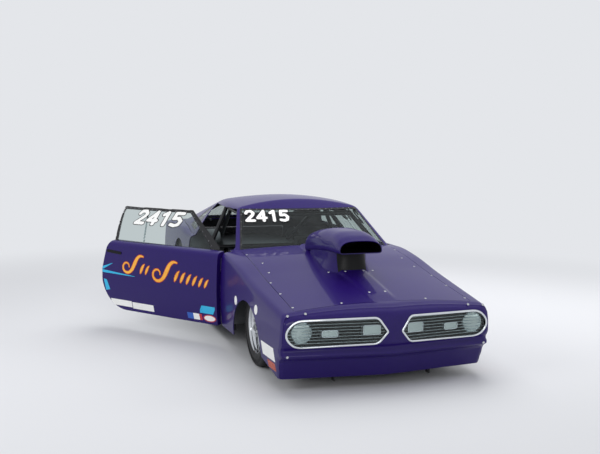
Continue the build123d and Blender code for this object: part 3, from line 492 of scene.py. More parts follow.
def panel(name, sheet, node=None, thick=skin_thick, body="chassis"):
    """A moulded body panel in lacquer, which may replace a CAD node."""
    piece(name, sheet, thick, lacquer, body, [node] if node else ())


wing_skin, nose_face = wing_sheet()
panel("front_wings", both(wing_skin), "front_end")
panel("nose_panel", both(nose_face))

# Grilles: an opening each side in a chrome moulding, with a black pan, thin bright bars, ribbed lamp
# units and a round headlamp behind one clear moulded cover.
def welded(sheet):
    """A sheet with points at the same place merged and their normals averaged, so that a tube closes."""
    points, normals, faces = sheet
    _, first, place = np.unique(np.round(points * 1e6).astype(np.int64), axis=0,
                                return_index=True, return_inverse=True)
    total = np.zeros((len(first), 3))
    np.add.at(total, place.ravel(), normals)
    faces = place.ravel()[faces]
    kept = (faces[:, 0] != faces[:, 1]) & (faces[:, 1] != faces[:, 2]) & (faces[:, 2] != faces[:, 0])
    return points[first], unit(total), faces[kept]


def mottled(name, dark, light, grain_mm, rough, metallic=0.0, relief_mm=0.1, stretch=(1, 1, 1), coat=0.0,
            gloss=0.5):
    """A finish from noise of a given grain: two close colours, a roughness range and a relief. It gives
    the slight unevenness of a real surface."""
    material, tree = blank_material(name)
    spot = add(tree, "TexCoord")
    place = add(tree, "Mapping", inputs={"Vector": spot.outputs["Object"], "Scale": stretch})
    # the noise repeats about once per unit over its scale, so a grain in mm gives 1000 over that size
    grain = add(tree, "TexNoise", inputs={
        "Vector": place.outputs[0], "Scale": 1000 / grain_mm, "Detail": 4.0, "Roughness": 0.6})
    broad = add(tree, "TexNoise", inputs={"Vector": place.outputs[0], "Scale": 60 / grain_mm, "Detail": 2.0})
    mixed = add(tree, "Math", {"operation": "MULTIPLY_ADD"}, {
        0: broad.outputs["Fac"], 1: 0.5, 2: add(tree, "Math", {"operation": "MULTIPLY"}, {
            0: grain.outputs["Fac"], 1: 0.5}).outputs[0]})
    tint = add(tree, "ValToRGB", {"ramp": (dark, light)}, {"Fac": mixed.outputs[0]})
    tint.color_ramp.elements[0].position, tint.color_ramp.elements[1].position = 0.32, 0.68
    dull = add(tree, "MapRange", inputs={
        "Value": mixed.outputs[0], "From Min": 0.3, "From Max": 0.7, "To Min": rough[0], "To Max": rough[1]})
    relief = add(tree, "Bump", inputs={
        "Height": grain.outputs["Fac"], "Strength": 0.4, "Distance": relief_mm / 1000})
    show(tree, add(tree, "BsdfPrincipled", inputs={
        "Base Color": tint.outputs["Color"], "Roughness": dull.outputs[0], "Metallic": metallic,
        "Specular IOR Level": gloss, "Coat Weight": coat, "Coat Roughness": 0.05,
        "Normal": relief.outputs[0]}))
    return material


def clear_sheet_material():
    """Clear polycarbonate as a thin sheet: light passes straight on, and more of it mirrors at a slant."""
    material, tree = blank_material("clear_polycarbonate")
    slant = add(tree, "LayerWeight", inputs={"Blend": 0.5})
    steep = add(tree, "Math", {"operation": "POWER"}, {0: slant.outputs["Facing"], 1: 5.0})
    mirrored_part = add(tree, "Math", {"operation": "MULTIPLY_ADD"}, {0: steep.outputs[0], 1: 0.5, 2: 0.025})
    through = add(tree, "BsdfTransparent", inputs={"Color": linear("#E8EDEC")})
    gloss = add(tree, "BsdfPrincipled", inputs={
        "Base Color": linear("#F2F4F5"), "Roughness": 0.02, "Metallic": 1.0})
    show(tree, add(tree, "MixShader", inputs={
        0: mirrored_part.outputs[0], 1: through.outputs[0], 2: gloss.outputs[0]}))
    return material


def swept(path, outward, profile, closed=False):
    """A closed profile (across, out) carried along a path, out being along one direction or along one for
    each point; an open path's ends are closed."""
    path = np.asarray(path, float)
    outward = np.broadcast_to(np.asarray(outward, float), path.shape)
    ahead = np.roll(path, -1, 0) - np.roll(path, 1, 0) if closed else np.gradient(path, axis=0)
    across = unit(np.cross(ahead, outward))
    a, b = np.array(list(profile) + [profile[0]], float).T
    grid = path[:, None] + a[None, :, None] * across[:, None] + b[None, :, None] * outward[:, None]
    if closed:
        grid = np.concatenate((grid, grid[:1]))
    else:
        start, end = (np.broadcast_to(row[:-1].mean(0), row.shape)[None] for row in (grid[0], grid[-1]))
        grid = np.concatenate((start, grid, end))
    return welded(sheet_of(grid))


def round_profile(half_across, half_out, count=12, power=2.0):
    """Outline of a bar's section: a superellipse, so that a higher power gives flatter sides."""
    angle = np.arange(count) * 2 * pi / count
    c, s = np.cos(angle), np.sin(angle)
    return np.stack((half_across * np.sign(c) * np.abs(c) ** (2 / power),
                     half_out * np.sign(s) * np.abs(s) ** (2 / power)), -1)


def turned(profile, count=48):
    """A surface of revolution about +Z: (radius, height) points, from the top's centre outwards and down."""
    radius, height = np.array(profile, float).T
    angle = np.linspace(0, 2 * pi, count + 1)
    rise = np.broadcast_to(height[:, None], (len(radius), count + 1))
    return welded(sheet_of(np.stack((
        radius[:, None] * np.cos(angle), radius[:, None] * np.sin(angle), rise), -1)))


def copies(sheet, places, directions):
    """A small form set at each place, with its own +Z along each direction."""
    points, normals, faces = sheet
    places, up = np.atleast_2d(places).astype(float), unit(np.atleast_2d(directions).astype(float))
    spare = np.where(np.abs(up[:, 1:2]) < 0.9, (0.0, 1.0, 0.0), (1.0, 0.0, 0.0))
    side = unit(np.cross(spare, up))
    axes = np.stack((side, np.cross(up, side), up), 1)
    set_points = np.einsum("ni,kij->knj", points, axes) + places[:, None]
    set_normals = np.einsum("ni,kij->knj", normals, axes)
    set_faces = faces[None] + (np.arange(len(places)) * len(points))[:, None, None]
    return set_points.reshape(-1, 3), set_normals.reshape(-1, 3), set_faces.reshape(-1, 3)


def nose_out(x, z):
    """The nose's outward direction: minus the slope of its face."""
    step = 0.002
    across = (nose_y(x + step, z) - nose_y(x - step, z)) / (2 * step)
    up = (nose_y(x, z + step) - nose_y(x, z - step)) / (2 * step)
    return unit(np.stack((across, -np.ones_like(across), up), -1))


def resampled(outline, step):
    """A closed outline with points an even step apart."""
    ring = np.concatenate((outline, outline[:1]))
    run = np.concatenate(([0], np.cumsum(np.linalg.norm(np.diff(ring, axis=0), axis=1))))
    at = np.linspace(0, run[-1], int(run[-1] / step) + 1)[:-1]
    return np.stack((np.interp(at, run, ring[:, 0]), np.interp(at, run, ring[:, 1])), -1)


def outline_span(z, outline):
    """Least and greatest x of a closed outline at a height."""
    ring = np.concatenate((outline, outline[:1]))
    low, high = ring[:-1], ring[1:]
    crosses = (low[:, 1] - z) * (high[:, 1] - z) < 0
    share = (z - low[crosses, 1]) / (high[crosses, 1] - low[crosses, 1])
    found = low[crosses, 0] + share * (high[crosses, 0] - low[crosses, 0])
    return found.min(), found.max()


# chrome plate mirrors almost whole; drawn and anodised bars carry fine lines along them; the black is satin
chrome = mottled("chrome_plate", "#D6DADF", "#E6E9EC", 10, (0.04, 0.09), 1.0, 0.01)
bright_bar = mottled("bright_anodised_aluminium", "#CDD2D6", "#E2E6E9", 5, (0.10, 0.20), 1.0, 0.02,
                     (0.05, 1, 1))
# the same black is also laid as painted shade inside the scoop's mouth and on the scoop's stem
black_paint_and_shade = mottled("satin_black_paint_and_painted_shade", "#050506", "#0B0B0D", 6, (0.30, 0.45), gloss=0.2)
clear_sheet = clear_sheet_material()
bezel_half, bezel_rise, bezel_seat, wall_set_back = 0.0080, 0.007, 0.001, 0.003
cover_back, cover_thick, pan_back, pan_thick, bar_back = 0.007, 0.004, 0.082, 0.003, 0.026
bars_each_way, grille_bar_pitch, grille_bar_half, grille_bar_deep = 4, 0.022, 0.0040, 0.009
grille_edge = resampled(grille_outline, 0.008)
forward = (0.0, -1.0, 0.0)


def as_is(sheet):
    """A sheet of the left side, kept where it is."""
    return sheet


body_sides = (("_left", "chassis", as_is), ("_right", "chassis", mirrored))


def sweep_behind(x, back):
    """The nose's sweep at x, a distance behind its foremost line."""
    return nose_y(x, np.full_like(x, grille_centre_z)) + back


def grille_layer(back, inset):
    """The nose's sweep a distance behind its foremost line, inside the grille's outline."""
    x, z = np.meshgrid(np.linspace(grille_tip - 0.01, grille_end + 0.01, grille_steps[0]),
                       np.linspace(0.325, 0.530, grille_steps[1]), indexing="ij")
    return cut(sheet_of(np.stack((x, sweep_behind(x, back), z), -1)),
               lambda p: inside(grille_outline, p[:, 0], p[:, 2]) - inset)


edge_x, edge_z = grille_edge.T
bezel_out = nose_out(edge_x, edge_z)
bezel = swept(np.stack((edge_x, nose_y(edge_x, edge_z), edge_z), -1) + bezel_out * bezel_seat, bezel_out,
              round_profile(bezel_half, bezel_rise, 14, 2.4), True)
plain_piece("grille_bezels", both(bezel), chrome, "chassis")

# the black wall from the opening's edge back to the pan, and the pan itself
depth = np.linspace(0, 1, 5)[:, None, None]
wall_front = np.stack((edge_x, nose_y(edge_x, edge_z) + wall_set_back, edge_z), -1)
wall_rear = np.stack((edge_x, sweep_behind(edge_x, pan_back), edge_z), -1)
wall_grid = wall_front[None] * (1 - depth) + wall_rear[None] * depth
wall_grid = np.concatenate((wall_grid, wall_grid[:, :1]), 1)
pan_wall, pan_sheet = welded(sheet_of(wall_grid[:, ::-1])), grille_layer(pan_back, -0.002)
for side, body, place in body_sides:
    piece("grille_wall" + side, place(pan_wall), pan_thick, black_paint_and_shade, body,
          ["grille" + side])
    piece("grille_pan" + side, place(pan_sheet), pan_thick, black_paint_and_shade, body)

bars = []
for row in range(-bars_each_way, bars_each_way + 1):
    height = grille_centre_z + row * grille_bar_pitch
    bar_from, bar_to = outline_span(height, grille_edge)
    bar_x = np.linspace(bar_from - 0.004, bar_to + 0.002, 40)
    bar_path = np.stack((bar_x, sweep_behind(bar_x, bar_back), np.full_like(bar_x, height)), -1)
    bars.append(swept(bar_path, forward, round_profile(grille_bar_half, grille_bar_deep, 10, 2.2)))
plain_piece("grille_bars", both(joined(*bars)), bright_bar, "chassis")
piece("grille_cover_sheets", both(grille_layer(cover_back, 0.0015)), cover_thick, clear_sheet, "chassis",
      ["grille_covers"])

# Headlamps: a round sealed glass at each outer end, pressed with upright flutes, in a chrome ring that
# holds it in front of a silvered bowl.
def fluted_glass():
    """Pressed glass over a silvered bowl: bright, with upright flutes, drawn 9 mm apart so that they show."""
    material, tree = blank_material("pressed_lamp_glass")
    spot = add(tree, "TexCoord")
    flute = add(tree, "TexWave", {"bands_direction": "X"}, {
        "Vector": spot.outputs["Object"], "Scale": 2 * pi / 0.009 / 20, "Distortion": 0.0})
    relief = add(tree, "Bump", inputs={"Height": flute.outputs["Fac"], "Strength": 0.8, "Distance": 0.003})
    show(tree, add(tree, "BsdfPrincipled", inputs={
        "Base Color": linear("#FBFDFE"), "Roughness": 0.14, "Metallic": 0.6, "Coat Weight": 1.0,
        "Coat Roughness": 0.02, "Normal": relief.outputs[0]}))
    return material


lamp_glass = fluted_glass()
lamp_x, lamp_z, lamp_radius, lamp_set_back = 0.672, 0.434, 0.079, 0.030
lamp_front = nose_tip_y + nose_sweep * lamp_x + lamp_set_back
shares = np.linspace(0, 1, 14)
lens_profile = [(lamp_radius * 0.9 * t, 0.014 * (1 - t * t)) for t in shares]
lens_profile += [(lamp_radius * 0.9, -0.006), (0, -0.006)]
ring_profile = [(lamp_radius * t, z) for t, z in (
    (0.88, 0.0), (0.9, 0.006), (0.95, 0.009), (0.99, 0.006), (1, -0.002), (1, -0.045), (0.9, -0.045),
    (0.88, 0.0))]
bowl_profile = [(lamp_radius * 0.2 + lamp_radius * 0.66 * t, -0.045 + 0.036 * t * t) for t in shares]
for name, profile, material, slot, replaced in (
    ("headlamp_glasses", lens_profile, lamp_glass, "lamp_glass", ["headlamps"]),
    ("headlamp_rings", ring_profile, chrome, "grille_metal", []),
    ("headlamp_bowls", bowl_profile, chrome, "grille_metal", []),
):
    lamp = both(copies(turned(profile, 56), (lamp_x, lamp_front, lamp_z), forward))
    plain_piece(name, lamp, material, "chassis", replaced)

# Lamp units between the bars: low rectangular pressed glasses with round corners, each in a chrome
# frame, set into the bars.
unit_round, unit_set_back, unit_frame_half, unit_frame_deep = 0.016, 0.014, 0.004, 0.008
frame_forms, glass_forms = [], []
for unit_from, unit_to, unit_low, unit_high in ((0.108, 0.233, 0.406, 0.474), (0.417, 0.531, 0.400, 0.448)):
    corners = ((unit_from, unit_low), (unit_from, unit_high), (unit_to, unit_high), (unit_to, unit_low))
    ring = resampled(softened(corners, (unit_round,) * 4), 0.005)
    middle = np.array(((unit_from + unit_to) / 2, (unit_low + unit_high) / 2))
    front = nose_tip_y + nose_sweep * middle[0] + unit_set_back
    layers = []
    for shrink, back in ((1.0, 0.0), (1.0, 0.030), (1.0, 0.004), (0.94, 0.0), (0.5, -0.002), (0.0, -0.002)):
        x, z = (middle + (ring - middle) * shrink).T
        layers.append(np.stack((x, front + back + nose_sweep * (x - middle[0]), z), -1))
    # the first layer is the frame's path, the others close the glass towards its middle
    frame_forms.append(swept(layers[0], forward,
                             round_profile(unit_frame_half, unit_frame_deep, 10, 2.6), True))
    glass_grid = np.array(layers[1:])
    glass_forms.append(welded(sheet_of(np.concatenate((glass_grid, glass_grid[:, :1]), 1))))
plain_piece("lamp_unit_frames", both(joined(*frame_forms)), chrome, "chassis")
plain_piece("lamp_unit_glasses", both(joined(*glass_forms)), lamp_glass, "chassis")

# Hood: a lift-off glass-fibre panel with a raised middle that runs forward from the scoop,
# held by quarter-turn fasteners round its edge.
raised_middle = np.array((
    # y, half-width of the flat top, height above the hood
    (-2.100, 0.064, 0.000), (-1.960, 0.070, 0.013), (-1.560, 0.084, 0.024), (-0.690, 0.150, 0.024)))
raised_slope = 0.048


def hood_lift(x, y):
    """Height of the raised middle over the skin: flat on top, with sides that run out in an S-curve."""
    side = np.clip((eased(y, raised_middle, 1) + raised_slope - np.abs(x)) / raised_slope, 0, 1)
    return eased(y, raised_middle, 2) * side * side * (3 - 2 * side)


def hood_grid():
    """The body skin inside the hood's edges, lifted along its middle."""
    grid = skin_grid(hood_front_y + hood_gap, hood_rear_y - 0.0003, -top_steps, top_steps, 0.020)
    grid[..., 2] += hood_lift(grid[..., 0], grid[..., 1])
    return grid


hood = cut(sheet_of(hood_grid()), lambda p: hood_half - hood_gap - np.abs(p[:, 0]))
panel("hood_panel", hood, "hood")


# Hood scoop: a moulded hollow shell with a flat floor and an arched mouth, tapered to the rear, on a
# pedestal that flares out into the raised middle. Black sheets in its throat and on the pedestal's front
# under its mouth are painted shade.
scoop_rows = np.array((
    # y, half-width, height of the floor, height of the top
    (-1.640, 0.180, 0.896, 0.998), (-1.560, 0.184, 0.892, 1.034), (-1.420, 0.181, 0.888, 1.058),
    (-1.230, 0.184, 0.876, 1.058), (-1.000, 0.184, 0.852, 1.030), (-0.770, 0.178, 0.812, 0.975)))
scoop_wall, scoop_arch, scoop_tail = 0.006, 3.2, 0.070
pedestal_rows = np.array((
    # height, half-width, front y, rear y
    (0.690, 0.235, -1.510, -0.700), (0.760, 0.196, -1.488, -0.745), (0.820, 0.176, -1.478, -0.768),
    (0.905, 0.168, -1.470, -0.790)))


def scoop_grid(y_from, y_to, inset):
    """Scoop sections: a superellipse over a flat floor with small round corners, drawn shut at the tail."""
    y = np.concatenate((np.linspace(y_from, y_from + 0.012, 4)[:-1],
                        np.linspace(y_from + 0.012, y_to - 0.06, 44), np.linspace(y_to - 0.06, y_to, 14)[1:]))
    half, low, top = (eased(y, scoop_rows, column) for column in (1, 2, 3))
    angle = np.linspace(0, pi, 60)
    arch = np.stack((np.sign(np.cos(angle)) * np.abs(np.cos(angle)) ** (2 / scoop_arch),
                     np.abs(np.sin(angle)) ** (2 / scoop_arch)), -1)
    floor_run = np.stack((np.linspace(-1, 1, 26)[1:-1], np.zeros(24)), -1)
    ring = np.concatenate((arch, floor_run))
    x = (half - inset)[:, None] * ring[:, 0]
    z = (low + inset)[:, None] + (top - low - 2 * inset)[:, None] * ring[:, 1]
    section = np.stack((x, z), -1)
    for _ in range(3):
        section = 0.25 * np.roll(section, 1, 1) + 0.5 * section + 0.25 * np.roll(section, -1, 1)
    # the last stretch closes like a quarter of an ellipse
    close = np.sqrt(1 - np.clip((y - (scoop_rows[-1, 0] - scoop_tail)) / scoop_tail, 0, 0.995) ** 2)
    centre = section.mean(1, keepdims=True)
    section = centre + (section - centre) * close[:, None, None]
    grid = np.concatenate((section[..., :1], np.broadcast_to(y[:, None, None], section.shape[:2] + (1,)),
                           section[..., 1:]), -1)
    return np.concatenate((grid, grid[:, :1]), 1)[:, ::-1].transpose(1, 0, 2)


def above_skin(points):
    """Height above the body skin's top."""
    x, y, z = np.abs(points[:, 0]), points[:, 1], points[:, 2]
    half, shoulder, crown = body_size(y)
    across = np.clip(x / (half - edge_in), 0, 1)
    return z - (shoulder + edge_rise + (crown - edge_rise) * (1 - across ** 2))


def hood_top(points):
    """Height of a point above the hood with its raised middle."""
    return above_skin(points) - hood_lift(points[:, 0], points[:, 1])


def pedestal_grid():
    """Pedestal: plan outlines with rounded ends at eased heights, wide at the foot."""
    z = np.linspace(pedestal_rows[0, 0], pedestal_rows[-1, 0], 36)
    half, front, rear = (eased(z, pedestal_rows, column) for column in (1, 2, 3))
    angle = np.linspace(0, 2 * pi, 145)
    c, s = np.cos(angle), np.sin(angle)
    # narrow at the front, where the stem is, and as wide as the scoop behind it
    width = 0.74 + 0.26 * np.clip((1 - c) / 1.1, 0, 1) ** 0.8
    x = half[:, None] * width * np.sign(s) * np.abs(s) ** (2 / 3.2)
    length, middle = ((rear - front) / 2)[:, None], ((rear + front) / 2)[:, None]
    # squarer at the front than at the rear
    y = middle - length * np.sign(c) * np.abs(c) ** np.where(c > 0, 2 / 7.0, 2 / 3.0)
    return np.stack((x, y, np.broadcast_to(z[:, None], x.shape)), -1)


scoop = welded(sheet_of(scoop_grid(scoop_rows[0, 0], scoop_rows[-1, 0], 0)))
panel("scoop_shell", scoop, "hood_scoop", thick=scoop_wall)
# black liner inside the scoop's mouth: painted shade, darkening the opening
throat_front_y, throat_rear_y, shade_sheet_gap, shade_sheet_thick = -1.632, -1.000, 0.0006, 0.001
throat = welded(sheet_of(scoop_grid(throat_front_y, throat_rear_y, scoop_wall + shade_sheet_gap)))
piece("scoop_throat_painted_shade", throat, shade_sheet_thick, black_paint_and_shade, "chassis")

# the pedestal's foot laps into the hood, and its top into the scoop
pedestal_lap, pedestal_thick = 0.004, 0.005
pedestal = cut(welded(sheet_of(pedestal_grid()[:, ::-1])), lambda p: np.minimum(
    hood_top(p) + pedestal_lap, eased(p[:, 1], scoop_rows, 2) + pedestal_lap - p[:, 2]))
panel("scoop_pedestal", pedestal, thick=pedestal_thick)
# black sheet on the pedestal's front under the scoop's mouth: painted shade, darkening the stem where the
# scoop's shadow falls
stem_half, stem_rear_y, stem_lift = 0.121, -1.40, 0.0012
stem = cut(pedestal, lambda p: np.where(p[:, 1] < stem_rear_y, stem_half - np.abs(p[:, 0]), -1))
piece("scoop_stem_painted_shade", moved(stem, stem_lift), shade_sheet_thick, black_paint_and_shade, "chassis")

# Quarter-turn fasteners: domed steel studs with a slot, in pressed rings, round the hood's edge, along
# the pedestal's foot and on the nose's corners.
stud_radius, dome_rise, dome_share, ring_height, ring_share = 0.0100, 0.0034, 0.72, 0.0022, 0.87
slot_deep, slot_half, slot_share, stud_sunk = 0.0014, 0.0011, 0.62, 0.0002
stud_r, stud_a = np.meshgrid(np.linspace(0, 1, 14), np.linspace(0, 2 * pi, 25), indexing="ij")
stud_x, stud_y = stud_radius * stud_r * np.cos(stud_a), stud_radius * stud_r * np.sin(stud_a)
dome = dome_rise * (1 - (stud_r / dome_share) ** 2).clip(0) ** 0.5
ring_rise = ring_height * np.clip(1 - np.abs(stud_r - ring_share) / 0.13, 0, 1) ** 0.5
slot_cut = slot_deep * (np.abs(stud_y) < slot_half) * (stud_r < slot_share)
stud = welded(sheet_of(np.stack((stud_x, stud_y, dome + ring_rise - slot_cut - stud_sunk), -1)))
hood_studs = np.array((
    (0.690, -2.045), (0.335, -2.085), (0.064, -1.959), (0.690, -1.755), (0.690, -1.505), (0.640, -1.290),
    (0.628, -1.072), (0.690, -0.800), (0.078, -1.515), (0.190, -1.440)))
hood_studs = np.concatenate((hood_studs, hood_studs * (-1, 1)))


def on_hood(spots):
    """Places on the hood at plan points, and the hood's upward direction there."""
    def top(x, y):
        return -hood_top(np.stack((x, y, 0 * x), -1))
    x, y = spots.T
    step = 0.004
    slope_x = (top(x + step, y) - top(x - step, y)) / (2 * step)
    slope_y = (top(x, y + step) - top(x, y - step)) / (2 * step)
    return np.stack((x, y, top(x, y)), -1), np.stack((-slope_x, -slope_y, np.ones_like(x)), -1)


stud_places, stud_ways = on_hood(hood_studs)
nose_studs = np.array(((0.641, 0.566), (0.770, 0.556), (0.775, 0.270)))
nose_studs = np.concatenate((nose_studs, nose_studs * (-1, 1)))
nose_places = np.stack((nose_studs[:, 0], nose_y(*nose_studs.T), nose_studs[:, 1]), -1)
studs = copies(stud, np.concatenate((stud_places, nose_places)),
               np.concatenate((stud_ways, nose_out(*nose_studs.T))))
# zinc plate is a soft, pale mirror with a fine cloudy grain
plated = mottled("zinc_plated_steel", "#B9BBBE", "#D5D6D8", 3, (0.18, 0.34), 1.0, 0.02)
plain_piece("quarter_turn_studs", studs, plated, "chassis")

# Doors: skin and inner frame moulded as one light shell, 50 mm thick, on gooseneck straps.
# The right one stands open.
door_thick, door_inner_x = 0.050, 0.780
door_curve = arc_through(*np.array((((0.500, door_foot),), ((0.745, 0.290),), ((door_rear_y, 0.541),))),
                         np.linspace(0, 1, 14))[0]
door_outline = ((door_front_y, 0.920), (door_front_y, door_foot), *door_curve, (0.756, 0.748), (0.640, 0.920))
open_angle = radians(36.6)
hinge_x, hinge_y = half_width(door_front_y) - 0.024, door_front_y - 0.070


def opened(sheet):
    """A closed right door's sheet turned open about its upright hinge."""
    points, normals, faces = sheet
    c, s = cos(open_angle), sin(open_angle)
    turn = np.array(((c, -s, 0), (s, c, 0), (0, 0, 1)))
    pivot = np.array((-hinge_x, hinge_y, 0))
    return (points - pivot) @ turn.T + pivot, normals @ turn.T, faces


def on_right_door(sheet):
    """A left door's sheet as it lies on the right door: mirrored and turned open."""
    return opened(mirrored(sheet))


door_sides = (("_left", "door_left", as_is), ("_right", "door_right", on_right_door))


def on_doors(name, sheet, thick, material, node=None):
    """A piece on each door, which may replace that side's CAD node."""
    for side, body, place in door_sides:
        piece(name + side, place(sheet), thick, material, body, [node + side] if node else ())


door_grid = skin_grid(door_front_y, door_rear_y, top_steps // 2, side_columns, 0.02)
door_skin = cut(sheet_of(door_grid), lambda p: np.minimum(
    inside(door_outline, p[:, 1], p[:, 2]), p[:, 0] - door_inner_x))
on_doors("door_shell", door_skin, door_thick, lacquer, "door")

# Rear quarters, deck lid, cowl and tail panel: the same moulded skin behind the doors and between the
# panels, and the roof with its pillars, which is one moulding from belt to belt.
deck_front_y, deck_rear_y, deck_half, deck_gap, deck_thick = 1.975, 2.490, 0.640, 0.012, 0.012
tail_profile = np.array(((0.200, 2.592), (0.300, 2.594), (0.470, 2.600), (0.640, 2.570), (0.900, 2.552)))
panel_half, panel_low, panel_high, panel_gap = 0.700, 0.480, 0.700, 0.002
cowl_rear_y = -0.540
cabin_plan = np.array((
    # height, front centre y, front corner y, half-widths at front corner, middle and rear corner,
    # rear corner y, rear centre y
    (0.800, -0.700, -0.607, 0.745, 0.828, 0.700, 2.200, 2.262),
    (1.150, -0.185, -0.117, 0.592, 0.604, 0.530, 0.850, 0.880)))
belt_z, wall_top_z, wall_rise, wall_foot = 0.80, 1.15, 0.35, 0.79
roof_stations = np.array((
    # y, height at the side, height at the centre
    (-0.260, 1.122, 1.206), (0.300, 1.158, 1.237), (1.000, 1.132, 1.192)))
roof_half = 0.640


def cabin_numbers(z):
    """The cabin's plan numbers at heights z, along straight lines between the two known plans."""
    share = (np.asarray(z) - cabin_plan[0, 0])[..., None] / (cabin_plan[1, 0] - cabin_plan[0, 0])
    return np.moveaxis(cabin_plan[0, 1:] + share * (cabin_plan[1, 1:] - cabin_plan[0, 1:]), -1, 0)


def cabin_line(part, share, z):
    """Points of the cabin's outline on its front, side or rear arc, at a share of the arc and heights z."""
    front_c, front_y, front_x, mid_x, rear_x, rear_y, rear_c = cabin_numbers(z)
    nought = 0 * front_c
    corner_f, corner_r = np.stack((front_x, front_y), -1), np.stack((rear_x, rear_y), -1)
    if part == "front":
        return arc_through(corner_f * (-1, 1), np.stack((nought, front_c), -1), corner_f, share)
    if part == "rear":
        return arc_through(corner_r, np.stack((nought, rear_c), -1), corner_r * (-1, 1), share)
    return arc_through(corner_f, np.stack((mid_x, (front_y + rear_y) / 2), -1), corner_r, share)


def roof_height(x, y):
    """Height of the roof's crown: each cross-section is an arc over the roof's width."""
    y = np.clip(y, roof_stations[0, 0] - 0.3, roof_stations[-1, 0] + 0.6)
    side = np.polyval(np.polyfit(roof_stations[:, 0], roof_stations[:, 1], 2), y)
    centre = np.polyval(np.polyfit(roof_stations[:, 0], roof_stations[:, 2], 2), y)
    rise = centre - side
    radius = (roof_half ** 2 + rise ** 2) / (2 * rise)
    return centre - radius + np.sqrt(np.maximum(radius ** 2 - x ** 2, 0))


def cabin_grid():
    """Left half of the cabin from belt to roof spine: walls up to the roof's edge, then the crown inwards."""
    arcs = (("front", np.linspace(0.5, 1, 34)[:-1]), ("side", np.linspace(0, 1, 110)[:-1]),
            ("rear", np.linspace(0, 0.5, 30)))
    low, high = (np.concatenate([cabin_line(part, share, np.array([z]))[0] for part, share in arcs])
                 for z in (belt_z, wall_top_z))
    slope = (high - low) / wall_rise
    # the wall's top is found by steps, because the roof's height changes as the wall leans in
    edge_z = np.full(len(low), wall_top_z)
    for _ in range(20):
        edge = low + slope * (edge_z - belt_z)[:, None]
        edge_z = 0.5 * edge_z + 0.5 * roof_height(edge[:, 0], edge[:, 1])
    edge = low + slope * (edge_z - belt_z)[:, None]
    z = wall_foot + np.linspace(0, 1, 34)[:, None] * (edge_z - wall_foot)
    walls = np.concatenate((low[None] + slope[None] * (z - belt_z)[..., None], z[..., None]), -1)
    spine = np.stack((0 * edge_z, np.clip(edge[:, 1], 0.10, 0.32)), -1)
    crown = edge[None] + (spine - edge)[None] * np.linspace(0, 1, 36)[1:, None, None]
    crown = np.concatenate((crown, roof_height(crown[..., 0], crown[..., 1])[..., None]), -1)
    grid = smoothed(smoothed(np.concatenate((walls, crown)), 7), 6, 1)
    grid[:, 0, 0] = grid[:, -1, 0] = grid[-1, :, 0] = 0
    return grid.transpose(1, 0, 2)


screen_outline = ((-0.700, 0.80), (-0.575, 1.142), (0.575, 1.142), (0.700, 0.80))
side_glass_outline = ((-0.502, 0.800), (-0.094, 1.118), (0.784, 1.112), (0.662, 0.800))
side_frame_outline = ((-0.535, 0.790), (-0.535, 0.826), (-0.105, 1.130), (0.802, 1.124), (0.684, 0.790))
door_top_outline = ((-0.543, 0.700), (-0.543, 0.832), (-0.112, 1.138), (0.812, 1.132), (0.676, 0.700))
quarter_glass_outline = ((0.850, 0.850), (0.850, 1.096), (0.960, 1.082), (1.240, 0.900), (1.240, 0.870))
back_outline = ((-0.560, 0.905), (-0.470, 1.095), (0.470, 1.095), (0.560, 0.905))


def beyond_cabin(points):
    """Distance outside the cabin's foot, in plan, for the skin round it."""
    x, y, z = np.abs(points[:, 0]), points[:, 1], points[:, 2]
    front_c, front_y, front_x, mid_x, rear_x, rear_y, rear_c = cabin_numbers(np.maximum(z, belt_z))
    middle, reach = (front_y + rear_y) / 2, (rear_y - front_y) / 2
    t = np.clip((y - middle) / reach, -1, 1)
    ends = np.where(t < 0, front_x, rear_x)
    side = x - (ends + (mid_x - ends) * (1 - t * t))
    front = (front_c + (front_y - front_c) * (x / front_x) ** 2) - y
    rear = y - (rear_c + (rear_y - rear_c) * (x / rear_x) ** 2)
    return np.maximum(np.maximum(side, front), rear)


def renormalled(sheet):
    """A welded sheet with each point's normal worked out from the faces round it, weighted by their areas."""
    points, _, faces = welded(sheet)
    a, b, c = points[faces].transpose(1, 0, 2)
    face_normal = np.cross(b - a, c - a)
    total = np.zeros_like(points)
    for corner in range(3):
        np.add.at(total, faces[:, corner], face_normal)
    total[np.abs(points[:, 0]) < 1e-6, 0] = 0
    return points, unit(total), faces


cabin_skin = cut(renormalled(sheet_of(cabin_grid())), above_skin)


def roof_field(points):
    """Outside the screen, the back window, the door's top and the quarter window."""
    x, y, z = np.abs(points[:, 0]), points[:, 1], points[:, 2]
    screen = np.where(y < 0.04, inside(screen_outline, points[:, 0], z), -1)
    back = np.where(y > 0.9, inside(back_outline, points[:, 0], z), -1)
    sides = np.where((x > 0.3) & (z < 1.141), inside(door_top_outline, y, z), -1)
    quarter = np.where(x > 0.3, inside(quarter_glass_outline, y, z), -1)
    return -np.maximum(np.maximum(screen, back), np.maximum(sides, quarter))


panel("roof_shell", both(cut(cabin_skin, roof_field)), "roof")


def ahead_of_tail(points):
    """Distance ahead of the tail's face."""
    return np.interp(points[:, 2], *tail_profile.T) - points[:, 1]


def quarter_field(points):
    """Outside the cabin's foot, the deck lid and the door's opening."""
    x, y, z = points.T
    lid = np.maximum(np.maximum(x - deck_half - deck_gap, deck_front_y - deck_gap - y),
                     y - deck_rear_y - deck_gap)
    door = np.where(x > 0.6, -inside(door_outline, y, z) - door_gap, 1)
    return np.minimum(door, np.where(z > 0.7, np.minimum(lid, beyond_cabin(points)), lid + 1))


skin_rear_y = 2.605
quarter_grid = skin_grid(door_curve[0, 0], skin_rear_y, 0, side_columns)
quarter = sheet_of(drawn_in(quarter_grid, ahead_of_tail, edge_round))
for field in (lambda p: ahead_of_tail(p) - edge_round / 4, quarter_field, above_lower_edge, out_of_arches):
    quarter = cut(quarter, field)
for side, body, place in body_sides:
    panel("quarter_shell" + side, place(quarter), "quarter" + side, body=body)

